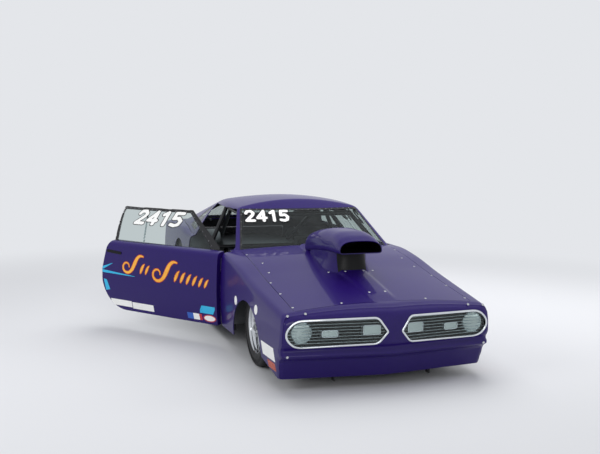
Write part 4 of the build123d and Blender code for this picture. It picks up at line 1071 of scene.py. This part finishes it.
tail_x, tail_z = np.meshgrid(np.linspace(face_half, -face_half, 130), np.linspace(0.25, 0.86, 52),
                             indexing="ij")
tail_grid = drawn_in(np.stack((tail_x, np.interp(tail_z, *tail_profile.T), tail_z), -1), under_skin,
                     edge_round)
tail_face = cut(cut(sheet_of(tail_grid), lambda p: under_skin(p) - edge_round / 4), above_lower_edge)
panel_box = ((-panel_half, panel_low), (panel_half, panel_low), (panel_half, panel_high),
             (-panel_half, panel_high))
tail_frame = cut(tail_face, lambda p: -inside(panel_box, p[:, 0], p[:, 2]))
panel("tail_frame", tail_frame)
tail_insert = cut(tail_face, lambda p: inside(panel_box, p[:, 0], p[:, 2]) - panel_gap)
panel("tail_insert", tail_insert, "tail_panel")

deck_grid = skin_grid(deck_front_y + deck_gap, deck_rear_y, -top_steps, top_steps)
deck = cut(sheet_of(deck_grid), lambda p: deck_half - np.abs(p[:, 0]))
panel("deck_lid_shell", deck, "deck_lid", thick=deck_thick, body="deck_lid")

# the cowl widens where it passes behind the wings, and runs 10 mm under the cabin's foot
cowl_half, cowl_front_half, cowl_under = 0.770, hood_half - 0.0003, 0.01
cowl = cut(sheet_of(skin_grid(hood_rear_y, cowl_rear_y, -top_steps, top_steps, 0.01)), lambda p: np.minimum(
    np.where(p[:, 1] > door_front_y - door_gap, cowl_half, cowl_front_half) - np.abs(p[:, 0]),
    beyond_cabin(p) + cowl_under))
panel("cowl_panel", cowl, "cowl")

# Windows: clear polycarbonate sheet in the screen, doors, quarters and back, held by a row of small
# rivets in a black painted edge.
def black_edging():
    """Black band painted on the sheet's edge and on the frames: satin, with faint brush marks."""
    material, tree = blank_material("satin_black_edging")
    spot = add(tree, "TexCoord")
    mottle = add(tree, "TexNoise", inputs={"Vector": spot.outputs["Object"], "Scale": 60.0, "Detail": 3.0})
    rough = add(tree, "MapRange", inputs={"Value": mottle.outputs["Fac"], "To Min": 0.28, "To Max": 0.42})
    show(tree, add(tree, "BsdfPrincipled", inputs={
        "Base Color": linear("#0C0C10"), "Roughness": rough.outputs[0]}))
    return material


edging = black_edging()
glass_in, glass_thick, edge_band, edge_lift = -0.001, 0.004, 0.016, 0.0006
rivet_pitch, rivet_in, edging_thick, surround_in, surround_thick = 0.062, 0.011, 0.0004, 0.0005, 0.0085


def on_sheet(sheet, first, a, b):
    """Places and normals on a sheet under points (a, b) of its front or side view."""
    points, normals, faces = sheet
    p, q, r = (points[faces[:, i]][:, (first, 2)] for i in range(3))
    area = (q[:, 0] - p[:, 0]) * (r[:, 1] - p[:, 1]) - (q[:, 1] - p[:, 1]) * (r[:, 0] - p[:, 0])
    area = np.where(np.abs(area) < 1e-12, 1e-12, area)
    spots, ways = [], []
    for u, v in zip(a, b):
        t = ((u - p[:, 0]) * (r[:, 1] - p[:, 1]) - (v - p[:, 1]) * (r[:, 0] - p[:, 0])) / area
        w = ((q[:, 0] - p[:, 0]) * (v - p[:, 1]) - (q[:, 1] - p[:, 1]) * (u - p[:, 0])) / area
        slack = np.minimum(np.minimum(t, w), 1 - t - w)
        best = slack.argmax()
        if slack[best] > -1e-6:
            parts = np.array((1 - t[best] - w[best], t[best], w[best]))
            spots.append(parts @ points[faces[best]])
            ways.append(parts @ normals[faces[best]])
    return np.array(spots), np.array(ways)


rivet = turned([(0, 0.0022), (0.0014, 0.0020), (0.0026, 0.0013), (0.0034, 0.0), (0.0034, -0.001)], 14)


def at_side(points):
    """Whether points are on the cabin's side."""
    return points[:, 0] > 0.3


def pane(name, outline, body, node, place=as_is, view="side", where=at_side):
    """One pane cut from the cabin's skin by its outline in a view, with its black edge band and rivets.
    The screen and the back window run over to the car's other side."""
    axis = 0 if view == "front" else 1

    def field(points):
        return np.where(where(points), inside(outline, points[:, axis], points[:, 2]), -1)

    sheet = moved(cut(cabin_skin, lambda p: field(p) - edge_lift), glass_in)
    if view == "front":
        sheet = both(sheet)
    border = moved(cut(sheet, lambda p: edge_band - field(p)), edge_lift)
    piece(name, place(sheet), glass_thick, clear_sheet, body, [node])
    piece(name + "_edge", place(border), edging_thick, edging, body)
    ring = resampled(np.array(outline), rivet_pitch)
    ring += unit(ring.mean(0) - ring) * rivet_in
    rivets = copies(rivet, *on_sheet(border, axis, *ring.T))
    plain_piece(name + "_rivets", place(rivets), plated, body)


pane("screen_pane", screen_outline, "chassis", "windscreen", view="front", where=lambda p: p[:, 1] < 0.04)
pane("back_pane", back_outline, "chassis", "rear_window", view="front", where=lambda p: p[:, 1] > 0.9)
for side, body, place in door_sides:
    pane("door_pane" + side, side_glass_outline, body, "door_window" + side, place)
for side, body, place in body_sides:
    pane("quarter_pane" + side, quarter_glass_outline, body, "quarter_windows", place)

door_frame = cut(cabin_skin, lambda p: np.where(at_side(p), np.minimum(
    inside(side_frame_outline, p[:, 1], p[:, 2]), -inside(side_glass_outline, p[:, 1], p[:, 2])), -1))
on_doors("window_surround", moved(door_frame, -surround_in), surround_thick, edging,
         "door_frame")

# Braces across the door windows: one slanting strip of bright aluminium inside each, riveted to the
# window's frame at both ends.
brace_foot_y, brace_lean, brace_half, brace_in, brace_thick = 0.320, 0.36, 0.009, 0.006, 0.002
brace = cut(cabin_skin, lambda p: np.where(at_side(p), inside(side_glass_outline, p[:, 1], p[:, 2]), -1))
brace = cut(brace, lambda p: brace_half - np.abs(
    (p[:, 1] - brace_foot_y) * cos(brace_lean) - (p[:, 2] - belt_z) * sin(brace_lean)))
on_doors("window_brace", moved(brace, -brace_in), brace_thick, bright_bar)

# Tyres: moulded rubber. The front ones are narrow, with four grooves round the tread. The rear ones are
# wide slicks with soft wrinkled side walls.
# moulded rubber is near black and dull, a little paler where it scuffs
rubber = mottled("tyre_rubber", "#141416", "#232325", 4, (0.55, 0.78), 0.0, 0.25)
# radius, width, distance from the centre line, axle y
front_wheel, rear_wheel = (0.305, 0.115, 0.722, front_axle_y), (0.381, 0.350, 0.655, rear_axle_y)
rim_edge, tread_round, groove_deep, groove_half = 0.196, 0.030, 0.006, 0.0028
bead_in, shoulder_in, rib_rise = 0.012, 0.026, 0.0010


def tyre_profile(radius, width, grooves, crown):
    """Section from bead to bead: side walls that bulge, round shoulders, a crowned tread with grooves."""
    half = width / 2
    side = np.linspace(0, 1, 22)
    wall_r = rim_edge + (radius - tread_round - rim_edge) * side
    wall_x = half - bead_in + bead_in * np.sin(pi * np.clip(side * 1.15, 0, 1)) ** 0.7
    # two raised ribs round the side wall
    wall_x = wall_x + rib_rise * ((side > 0.10) & (side < 0.16)) + rib_rise * ((side > 0.60) & (side < 0.66))
    turn_angle = np.linspace(0, pi / 2, 10)[1:]
    turn_x = half - shoulder_in + shoulder_in * np.cos(turn_angle)
    turn_r = radius - tread_round + tread_round * np.sin(turn_angle) - 0.001
    across = np.linspace(half - 0.027, -(half - 0.027), 96 if len(grooves) else 30)
    tread = radius - 0.001 - crown * (across / half) ** 2
    for centre in grooves:
        tread = tread - groove_deep * (np.abs(across - centre) < groove_half)
    x = np.concatenate((wall_x, turn_x, across, -turn_x[::-1], -wall_x[::-1]))
    r = np.concatenate((wall_r, turn_r, tread, turn_r[::-1], wall_r[::-1]))
    inner = np.linspace(-(half - bead_in), half - bead_in, 8)[1:]
    return np.stack((np.concatenate((r, np.full(7, rim_edge - 0.001))), np.concatenate((x, inner))), -1)


def on_wheel(sheet, wheel, side):
    """A form turned about +Z laid on a wheel's axle, +Z outwards to that side."""
    radius, _, track, axle_y = wheel
    points, normals, faces = sheet
    turn = np.array(((0, 0, side), (0, 1, 0), (-side, 0, 0)))
    return points @ turn.T + (side * track, axle_y, radius), normals @ turn.T, faces


front_grooves = (-0.030, -0.010, 0.010, 0.030)
front_tyre = turned(tyre_profile(*front_wheel[:2], front_grooves, 0.004)[::-1], 80)
rear_tyre = turned(tyre_profile(*rear_wheel[:2], (), 0.006)[::-1], 96)

# Rims: polished aluminium, a barrel with rolled lips and a spun centre with five tapered windows,
# held by nuts, with a turned cap. The rear ones are deep-dished.
# polished aluminium mirrors softly, cast aluminium is grey with a fine grain
alloy = mottled("polished_aluminium", "#C2C5C9", "#D6D9DC", 12, (0.10, 0.22), 1.0, 0.02)
dull_alloy = mottled("cast_aluminium", "#8B8E92", "#A4A7AA", 3, (0.35, 0.5), 1.0, 0.05)
centre_radius, centre_thick, nut_circle = 0.1815, 0.007, 0.058


def rim_barrel(width):
    """Barrel section: rolled lips over the tyre's beads, a stepped well between, walls 6 mm thick."""
    half = width / 2 - 0.007
    outer = ((0.1975, half), (0.2045, half - 0.002), (0.2060, half - 0.007), (0.2030, half - 0.011),
             (0.1950, half - 0.013), (0.1940, half - 0.024), (0.1880, half - 0.030))
    inner = [(r, -z) for r, z in outer[::-1]]
    well = [(0.1800, -half + 0.045), (0.1795, half - 0.050)]
    back = [(0.1740, half - 0.050), (0.1820, half - 0.028), (0.1880, half - 0.022), (0.1895, half - 0.010)]
    front = [(r, -z) for r, z in back]
    return [*outer, well[1], well[0], *inner, *front[::-1], *back, outer[0]]


def rim_centre(face, bore):
    """Spun centre disc on a polar grid: its rim set back, its middle forward, five rounded windows cut."""
    r = np.linspace(bore, centre_radius, 28)
    angle = np.linspace(0, 2 * pi, 121)
    share = (r - bore) / (centre_radius - bore)
    height = face + 0.016 * np.exp(-((r - 0.055) / 0.035) ** 2) - 0.018 * share ** 2
    grid = np.stack((r[:, None] * np.cos(angle), r[:, None] * np.sin(angle),
                     np.broadcast_to(height[:, None], (len(r), len(angle)))), -1)
    sheet = welded(sheet_of(grid))

    def windows(points):
        """Outside five windows that widen with the radius."""
        radius = np.hypot(points[:, 0], points[:, 1])
        turn = np.arctan2(points[:, 1], points[:, 0])
        off = np.abs((turn + pi / 5) % (2 * pi / 5) - pi / 5) * radius
        half = 0.014 + 0.30 * (radius - 0.095)
        hole = np.minimum(np.minimum(half - off, radius - 0.088), 0.164 - radius)
        return 0.004 - hole

    return cut(sheet, windows)


nut = turned([(0, 0.024), (0.006, 0.024), (0.009, 0.021), (0.0105, 0.016), (0.0105, 0), (0.015, -0.001)], 12)
for name, side in (("left", 1), ("right", -1)):
    for end, wheel, tyre_form, face, bore, cap, cap_out, body in (
        ("front", front_wheel, front_tyre, 0.020, 0.01505, 0.030, 0.040, "front_wheel_" + name),
        ("rear", rear_wheel, rear_tyre, -0.120, 0.0200, 0.052, 0.016, "rear_wheels"),
    ):
        angle = np.arange(5) * 2 * pi / 5 + pi / 5
        nut_places = np.stack((nut_circle * np.cos(angle), nut_circle * np.sin(angle),
                               np.full(5, face + 0.014)), -1)
        cap_top, hub_foot = face + cap_out, face - 0.046
        hub = turned([(bore, cap_top), (cap * 0.8, cap_top), (cap, cap_top - 0.006), (cap + 0.002, hub_foot),
                      (bore, hub_foot), (bore, cap_top)], 40)
        plain_piece(f"{end}_tyre_form_{name}", on_wheel(tyre_form, wheel, side), rubber, body,
                    [f"{end}_tyre_{name}"], crease=40)
        barrel = turned(rim_barrel(wheel[1]), 90)
        plain_piece(f"{end}_rim_barrel_{name}", on_wheel(barrel, wheel, side), alloy, body,
                    [f"{end}_rim_{name}"])
        centre = on_wheel(rim_centre(face, bore), wheel, side)
        piece(f"{end}_rim_centre_{name}", centre, centre_thick, alloy, body)
        nuts = copies(nut, nut_places, np.tile((0.0, 0.0, 1.0), (5, 1)))
        plain_piece(f"{end}_nuts_{name}", on_wheel(nuts, wheel, side), plated, body)
        plain_piece(f"{end}_hub_{name}", on_wheel(hub, wheel, side), dull_alloy, body)


# Door hinges: flat plated gooseneck straps with drilled barrels, which dip inboard round the wing's edge
# and turn on pins in the chassis brackets.
strap_run = softened(((0, 0), (-0.062, 0.030), (-0.066, 0.095), (-0.026, 0.140), (-0.026, 0.141), (0, 0.001)),
                     (0.001, 0.030, 0.030, 0.001, 0.0005, 0.0005), 8)[:32]
strap_heights, strap_half, strap_tall = (0.400, 0.630), 0.005, 0.020
barrel_radius, barrel_bore = 0.009, 0.00505
eye = turned([(barrel_bore, 0.020), (barrel_radius - 0.001, 0.020), (barrel_radius, 0.019),
              (barrel_radius, -0.019), (barrel_radius - 0.001, -0.020), (barrel_bore, -0.020),
              (barrel_bore, 0.020)], 32)
upright = (0.0, 0.0, 1.0)
straps = []
for height in strap_heights:
    run = strap_run[np.hypot(*strap_run.T) > barrel_radius - 0.002] + (hinge_x, hinge_y)
    strap_path = np.concatenate((run, np.full((len(run), 1), height)), 1)
    straps.append(swept(strap_path, upright, round_profile(strap_half, strap_tall, 16, 8)))
    straps.append(copies(eye, (hinge_x, hinge_y, height), upright))
for side, body, place in door_sides:
    plain_piece("hinge_straps" + side, place(joined(*straps)), plated, body)

# Deck lid hinges: two plated knuckles on short webs that are welded to the lid, on pins ahead of it.
lid_pin_x, lid_pin_y, lid_pin_z = 0.420, 1.975, 0.868
knuckle = turned([(0.00305, 0.025), (0.006, 0.025), (0.006, -0.025), (0.00305, -0.025), (0.00305, 0.025)], 28)
knuckles = []
for x in (-lid_pin_x, lid_pin_x):
    knuckles.append(copies(knuckle, (x, lid_pin_y, lid_pin_z), (1.0, 0.0, 0.0)))
    web_path = np.stack((np.full(6, x), np.linspace(1.981, 2.022, 6), np.linspace(lid_pin_z, 0.862, 6)), -1)
    knuckles.append(swept(web_path, upright, round_profile(0.025, 0.003, 14, 8)))
plain_piece("deck_lid_knuckles", joined(*knuckles), plated, "deck_lid")

# Door handles: flush pull handles of moulded black plastic, let into the skin near the rear edge of each
# door.
def finer(sheet, times):
    """A sheet with each triangle split in four at its edges' midpoints, a number of times."""
    for _ in range(times):
        points, normals, faces = sheet
        edges = np.sort(np.concatenate((faces[:, (0, 1)], faces[:, (1, 2)], faces[:, (2, 0)])), 1)
        edges, place = np.unique(edges, axis=0, return_inverse=True)
        ab, bc, ca = len(points) + place.ravel().reshape(3, -1)
        a, b, c = faces.T
        points = np.concatenate((points, points[edges].mean(1)))
        normals = np.concatenate((normals, unit(normals[edges].sum(1))))
        faces = np.concatenate([np.stack(corners, 1) for corners in (
            (a, ab, ca), (ab, b, bc), (ca, bc, c), (ab, bc, ca))])
        sheet = points, normals, faces
    return sheet


def plain_ink(name, colour, edge_colour, rough=0.35):
    """Cut vinyl film or sign paint: one even colour with a faint mottle, and a satin gloss."""
    return mottled(name, colour, edge_colour, 7, (rough, rough + 0.1), 0.0, 0.02)


def near_line(a, b, line):
    """Least distance of the points (a, b) from a run of straight pieces."""
    line = np.asarray(line, float)
    start, run = line[:-1], np.diff(line, axis=0)
    spots = np.stack((a, b), -1)[:, None] - start[None]
    share = np.clip((spots * run).sum(-1) / np.maximum((run ** 2).sum(-1), 1e-12), 0, 1)
    return np.linalg.norm(spots - share[..., None] * run, axis=-1).min(1)


film_thick, film_lift, upper_lift = 0.0003, 0.0006, 0.0011


def decal(name, base, view, box, field, material, sides, lift=film_lift):
    """Film cut to shape on a skin: the skin inside a box, made finer, cut by the field and lifted clear of
    the paint, on each side that is listed."""
    first, low, last, high = box
    axis = 0 if view == "front" else 1
    patch = cut(base, lambda p: np.minimum(np.minimum(p[:, axis] - first, last - p[:, axis]),
                                           np.minimum(p[:, 2] - low, high - p[:, 2])))
    patch = moved(cut(finer(patch, 2), lambda p: field(p[:, axis], p[:, 2])), lift)
    for side, body, place in sides:
        piece(name + side, place(patch), film_thick, material, body)


handle_line, handle_half, handle_out, handle_thick = ((0.560, 0.706), (0.735, 0.716)), 0.013, 0.004, 0.006
handle = cut(door_skin, lambda p: np.minimum(p[:, 1] - 0.50, 0.79 - p[:, 1]) - np.where(p[:, 2] > 0.66, 0, 1))
handle = cut(finer(handle, 2), lambda p: handle_half - near_line(p[:, 1], p[:, 2], handle_line))
on_doors("door_handle", moved(handle, handle_out), handle_thick, black_paint_and_shade)

# Painted flashes: cyan strokes and a block at the doors' rear edges, and plain patches of cut vinyl film
# along the foot. Sign paint is the glossier of the two.
cyan = plain_ink("cyan_sign_paint", "#18A8D8", "#2FB6E0", 0.25)
white_film = plain_ink("white_vinyl_film", "#E8E8E6", "#F2F2F0")
red_film = plain_ink("red_vinyl_film", "#B3202A", "#C0303A")
blue_film = plain_ink("blue_vinyl_film", "#1F4FA8", "#2A5CB6")
stroke_half, film_margin = 0.013, 0.02


def tapered(a, b, line, widest):
    """Inside a brush stroke along a line that thins to a point at its far end."""
    line = np.asarray(line, float)
    run = line[-1] - line[0]
    share = np.clip(((np.stack((a, b), -1) - line[0]) @ run) / (run @ run), 0, 1)
    return widest * (1 - 0.85 * share) - near_line(a, b, line)


block = ((0.790, 0.446), (0.748, 0.438), (0.704, 0.348), (0.762, 0.336))
for name, box, field in (
    ("cyan_short_flash", (0.62, 0.53, 0.81, 0.63),
     lambda a, b: tapered(a, b, ((0.800, 0.550), (0.668, 0.602)), stroke_half)),
    ("cyan_long_flash", (0.30, 0.48, 0.81, 0.54),
     lambda a, b: tapered(a, b, ((0.800, 0.519), (0.370, 0.503)), stroke_half)),
    ("cyan_block", (0.69, 0.32, 0.81, 0.46), lambda a, b: inside(block, a, b)),
):
    decal(name, door_skin, "side", box, field, cyan, door_sides)
film_patches = (
    # name, rear y, front y, low z, high z, slant, film
    ("white_film_rear", 0.690, 0.412, 0.206, 0.264, 0.010, white_film),
    ("white_film_middle", 0.404, 0.132, 0.198, 0.258, 0.010, white_film),
    ("blue_film_patch", -0.280, -0.350, 0.196, 0.250, 0.010, blue_film),
    ("white_film_patch", -0.351, -0.420, 0.196, 0.250, 0.010, white_film),
    ("red_film_patch", -0.421, -0.450, 0.196, 0.250, 0.010, red_film),
    ("cyan_film_foot", -0.410, -0.570, 0.262, 0.328, -0.032, cyan),
)
for name, rear_y, front_y, low, high, slant, film in film_patches:
    outline = ((front_y, low), (rear_y, low), (rear_y + slant, high), (front_y + slant, high))
    box = (front_y - film_margin, low - film_margin, rear_y + slant + film_margin, high + film_margin)
    decal(name, door_skin, "side", box, lambda a, b: inside(outline, a, b), film, door_sides)


def oval(a, b, centre, half_a, half_b):
    """Inside an oval, roughly as a distance."""
    return (1 - np.hypot((a - centre[0]) / half_a, (b - centre[1]) / half_b)) * min(half_a, half_b)


for name, half_a, half_b, film, lift in (("oval_film_rim", 0.072, 0.032, red_film, film_lift),
                                         ("oval_film_face", 0.061, 0.024, white_film, upper_lift)):
    decal(name, door_skin, "side", (-0.612, 0.18, -0.45, 0.26),
          lambda a, b: oval(a, b, (-0.530, 0.222), half_a, half_b), film, door_sides, lift)

# Sign painter's flourish on the doors: two scrolls, each with a rising swelled stroke and a row of
# leaves after it, in gold with an orange edge.
gold = plain_ink("gold_sign_paint", "#F09A1C", "#FBC04A", 0.22)
burnt_orange = plain_ink("orange_sign_paint", "#A5340E", "#BC4418", 0.22)
scroll_line = np.array((
    # forward and up from the scroll's middle, half the stroke's width
    (0.022, -0.004, 0.004), (0.024, 0.022, 0.005), (0.000, 0.036, 0.006), (-0.034, 0.034, 0.007),
    (-0.062, 0.006, 0.008), (-0.058, -0.036, 0.009), (-0.016, -0.064, 0.010), (0.036, -0.052, 0.012),
    (0.074, -0.008, 0.017), (0.100, 0.046, 0.019), (0.126, 0.090, 0.014), (0.164, 0.114, 0.009),
    (0.200, 0.104, 0.005)))
leaf_line = np.array((
    # a slanted leaf, pointed at both ends
    (-0.022, -0.050, 0.003), (-0.014, -0.030, 0.012), (0.000, 0.000, 0.015), (0.016, 0.028, 0.010),
    (0.034, 0.046, 0.002)))
strokes = (
    # rear end y, height, size, line
    (0.464, 0.592, 1.00, scroll_line), (0.276, 0.586, 0.92, leaf_line), (0.212, 0.580, 0.82, leaf_line),
    (0.070, 0.560, 1.12, scroll_line), (-0.152, 0.560, 0.98, leaf_line), (-0.222, 0.553, 0.94, leaf_line),
    (-0.292, 0.546, 0.90, leaf_line), (-0.362, 0.539, 0.86, leaf_line), (-0.432, 0.532, 0.80, leaf_line),
    (-0.496, 0.526, 0.72, leaf_line))


def drawn_smooth(line, count=70):
    """A coarse line with widths, resampled evenly and rounded off by averaging neighbours."""
    run = np.concatenate(([0], np.cumsum(np.linalg.norm(np.diff(line[:, :2], axis=0), axis=1))))
    at = np.linspace(0, run[-1], count)
    fine = np.stack([np.interp(at, run, line[:, column]) for column in range(3)], -1)
    for _ in range(14):
        fine[1:-1] = 0.25 * fine[:-2] + 0.5 * fine[1:-1] + 0.25 * fine[2:]
    return fine


def flourish(a, b):
    """Inside any of the strokes: the width at the nearest point of each line minus the distance to it."""
    reach = np.full(len(a), -1.0)
    for rear_y, height, scale, line in strokes:
        forward_by, up_by, half = (drawn_smooth(line) * scale).T
        gap = np.hypot(a[:, None] - (rear_y - forward_by), b[:, None] - (height + up_by))
        reach = np.maximum(reach, (half - gap).max(1))
    return reach


flourish_box, flourish_rim, disc_radius = (-0.60, 0.44, 0.56, 0.74), 0.006, 0.037
decal("flourish_edge", door_skin, "side", flourish_box, lambda a, b: flourish(a, b) + flourish_rim,
      burnt_orange, door_sides)
decal("flourish_fill", door_skin, "side", flourish_box, flourish, gold, door_sides, upper_lift)

# Film on the wings: two round white patches over the wheel, and a slanted white and an orange one ahead
# of it, all cut from vinyl.
for name, y, z in (("white_disc_rear", -1.115, 0.478), ("white_disc_front", -1.632, 0.500)):
    decal(name, wing_skin, "side", (y - 0.05, z - 0.05, y + 0.05, z + 0.05),
          lambda a, b: oval(a, b, (y, z), disc_radius, disc_radius), white_film, body_sides)
for name, film, box, outline in (
    ("white_film_slanted", white_film, (-2.10, 0.19, -1.74, 0.32),
     ((-2.060, 0.205), (-1.790, 0.205), (-1.760, 0.300), (-2.030, 0.300))),
    ("orange_film_low", burnt_orange, (-2.09, 0.12, -1.86, 0.20),
     ((-2.060, 0.135), (-1.900, 0.135), (-1.885, 0.190), (-2.045, 0.190))),
):
    decal(name, wing_skin, "side", box, lambda a, b: inside(outline, a, b), film, body_sides)

# Race numbers: slanted white digits with a black edge, cut from vinyl film, on the screen and the door
# windows.
digit_lines = {
    # strokes in a box one unit wide and 1.4 units tall
    "1": (((0.25, 1.10), (0.60, 1.35), (0.60, 0.05)),),
    "2": (((0.10, 1.05), (0.22, 1.30), (0.62, 1.34), (0.86, 1.08), (0.74, 0.78), (0.12, 0.06),
           (0.90, 0.06)),),
    "4": (((0.72, 0.05), (0.72, 1.34), (0.08, 0.42), (0.94, 0.42)),),
    "5": (((0.84, 1.34), (0.20, 1.34), (0.16, 0.78), (0.62, 0.84), (0.88, 0.56), (0.80, 0.18), (0.48, 0.05),
           (0.12, 0.14)),),
}
race_number, digit_edge, digit_edge_lift, digit_fill_lift = "2415", 0.006, 0.0003, 0.0008
digit_pitch, digit_slant, digit_stroke, digit_wide = 1.20, 0.16, 0.165, 1.45


def digits(a, b, left, foot, height, run):
    """Inside the race number's strokes, roughly as a distance; run is -1 where it reads the other way."""
    size = height / 1.4
    u, v = run * (a - left) / size / digit_wide, (b - foot) / size
    u = u - digit_slant * v
    best = np.full(len(a), 9.0)
    for place, digit in enumerate(race_number):
        for line in digit_lines[digit]:
            best = np.minimum(best, near_line(u - place * digit_pitch, v, line))
    return (digit_stroke - best) * size


number_white = plain_ink("white_number_film", "#EDEDEB", "#F6F6F4")
number_black = plain_ink("black_number_film", "#0B0B0D", "#151518")
whole_screen = cut(both(cabin_skin), lambda p: 0.04 - p[:, 1])
side_skin = cut(cabin_skin, lambda p: p[:, 0] - 0.3)
window_box = (-0.16, 0.96, 0.72, 1.12)
for name, base, view, box, (left, foot, height), run, side in (
    ("screen_number", whole_screen, "front", (-0.60, 1.03, -0.02, 1.140), (-0.560, 1.040, 0.084), 1.0,
     ("", "chassis", as_is)),
    # seen from the right, the number starts at the window's rear; on the left at its front
    ("window_number_left", side_skin, "side", window_box, (-0.050, 0.980, 0.118), 1.0,
     ("", "door_left", as_is)),
    ("window_number_right", side_skin, "side", window_box, (0.548, 0.980, 0.118), -1.0,
     ("", "door_right", on_right_door)),
):
    decal(name + "_edge", base, view, box, lambda a, b: digits(a, b, left, foot, height, run) + digit_edge,
          number_black, (side,), digit_edge_lift)
    decal(name + "_fill", base, view, box, lambda a, b: digits(a, b, left, foot, height, run),
          number_white, (side,), digit_fill_lift)

# Driver's seat: the moulded shell keeps its own shape; on it lie two stuffed cushions, crowned, with
# sewn channels across them and a piped seam round the edge.
def cushion(size, channels, crown=0.42):
    """A stuffed cushion about the origin: a rounded slab with its sides drawn in between its corners and
    its top crowned and quilted."""
    u, v = np.meshgrid(np.linspace(-pi / 2, pi / 2, 50), np.linspace(0, 2 * pi, 101), indexing="ij")
    flat, tight = 0.55, 0.34
    rim = np.sign(np.cos(u)) * np.abs(np.cos(u)) ** flat
    x = rim * np.sign(np.cos(v)) * np.abs(np.cos(v)) ** tight
    y = rim * np.sign(np.sin(v)) * np.abs(np.sin(v)) ** tight
    z = np.sign(np.sin(u)) * np.abs(np.sin(u)) ** 0.75
    # sides pull in between the corners, and the middle stands higher than the edge
    x, y = x * (1 - 0.035 * (1 - np.minimum(y * y, 1))), y * (1 - 0.035 * (1 - np.minimum(x * x, 1)))
    top = np.where(z > 0, 1 + crown * (1 - x ** 4) * (1 - y ** 4), 1.0)
    seam = sum(np.exp(-((y - line) / 0.030) ** 2) for line in channels)
    ends = np.clip((1 - np.abs(x)) * 6, 0, 1)
    top = top - np.where(z > 0, 0.34 * seam * ends, 0)
    piping = 1 + 0.012 * np.exp(-(u / 0.05) ** 2)
    grid = np.stack((x * piping * size[0], y * piping * size[1], z * top * size[2]), -1)
    return welded(sheet_of(grid[:, ::-1]))


def quilted_cloth():
    """Woven flame-proof cloth: black yarns over and under, drawn 2.5 mm wide, with a dry sheen."""
    material, tree = blank_material("black_woven_seat_cloth")
    spot = add(tree, "TexCoord")
    warp = add(tree, "TexWave", {"bands_direction": "X"}, {"Vector": spot.outputs["Object"], "Scale": 126.0})
    weft = add(tree, "TexWave", {"bands_direction": "Y"}, {"Vector": spot.outputs["Object"], "Scale": 126.0})
    weave = add(tree, "Math", {"operation": "MULTIPLY"}, {0: warp.outputs["Fac"], 1: weft.outputs["Fac"]})
    shade = add(tree, "ValToRGB", {"ramp": ("#101013", "#26262B")}, {"Fac": weave.outputs[0]})
    relief = add(tree, "Bump", inputs={"Height": weave.outputs[0], "Strength": 0.5, "Distance": 0.0006})
    show(tree, add(tree, "BsdfPrincipled", inputs={
        "Base Color": shade.outputs["Color"], "Roughness": 0.85, "Sheen Weight": 0.25, "Sheen Roughness": 0.5,
        "Normal": relief.outputs[0]}))
    return material


seat_cloth = quilted_cloth()
back_lean = radians(-12)
for name, size, channels, place, lean in (
    ("seat_cushion", (0.172, 0.185, 0.026), (-0.5, 0.0, 0.5), (0.375, 0.235, 0.3165), 0.0),
    ("back_cushion", (0.172, 0.255, 0.022), (-0.6, -0.2, 0.2, 0.6), (0.375, 0.432, 0.540),
     pi / 2 + back_lean),
):
    points, _, faces = cushion(size, channels)
    turn = np.array(((1, 0, 0), (0, cos(lean), -sin(lean)), (0, sin(lean), cos(lean))))
    made = plain_piece(name, (points @ turn.T + place, None, faces), seat_cloth, "chassis",
                       crease=60)

# Chassis and running gear: the welded tubes, forgings and castings keep their own shapes and get the
# finish of the real ones.
finishes = (
    # powder coat on the welded tubes: satin black with a faint orange peel
    ("chassis_rails cross_members roll_cage front_strut_left front_strut_right rear_suspension sills"
     " hinge_brackets", mottled("satin_black_powder_coat", "#151518", "#202024", 5, (0.34, 0.48), 0.0, 0.12)),
    # bare aluminium sheet with a rolled grain along the car
    ("floor_pan firewall rear_floor rear_tubs",
     mottled("rolled_aluminium_sheet", "#6E7174", "#85888B", 9, (0.30, 0.46), 1.0, 0.04, (1, 0.12, 1))),
    ("fuel_cell", mottled("anodised_black_tank", "#1A1A1C", "#252528", 6, (0.3, 0.44), 0.6, 0.05)),
    # cast iron and cast aluminium, painted and heat-dulled
    ("engine", mottled("engine_enamel", "#2A2B2E", "#3A3B3F", 7, (0.4, 0.6), 0.3, 0.3)),
    ("gearbox rack_housing", mottled("sand_cast_aluminium", "#77797C", "#8C8E91", 4, (0.42, 0.6), 1.0, 0.3)),
    ("rear_axle_housing", mottled("black_axle_enamel", "#17171A", "#242428", 8, (0.35, 0.55), 0.2, 0.3)),
    # turned and plated steel of shafts, pins and arms
    ("axle_shaft propshaft rack_bar knuckle_left knuckle_right steering_column deck_hinges",
     mottled("turned_steel", "#8D9094", "#A6A9AD", 3, (0.22, 0.38), 1.0, 0.03, (0.1, 1, 1))),
    # glass-fibre seat, suede-bound wheel rim, moulded red lamp lenses
    ("seat", mottled("black_seat_shell_gelcoat", "#131316", "#1E1E22", 8, (0.28, 0.4), 0.0, 0.05)),
    ("steering_wheel", mottled("black_suede_grip", "#121214", "#1F1F22", 1.5, (0.72, 0.9), 0.0, 0.3,
                               gloss=0.2)),
    ("tail_lamps", mottled("moulded_red_lens", "#7E0C12", "#9C141B", 7, (0.06, 0.14), 0.0, 0.06, coat=0.8)),
    ("rear_bumper", lacquer),
    # crackle paint on the instrument panel
    ("dash", mottled("black_crackle_paint", "#0E0E10", "#1C1C1F", 2.5, (0.5, 0.7), 0.0, 0.5)),
)
for nodes, finish in finishes:
    for node in nodes.split():
        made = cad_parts[node]
        made.data.shade_smooth()
        made.data.set_sharp_from_angle(angle=radians(30))
        for slot in made.material_slots:
            slot.material = finish
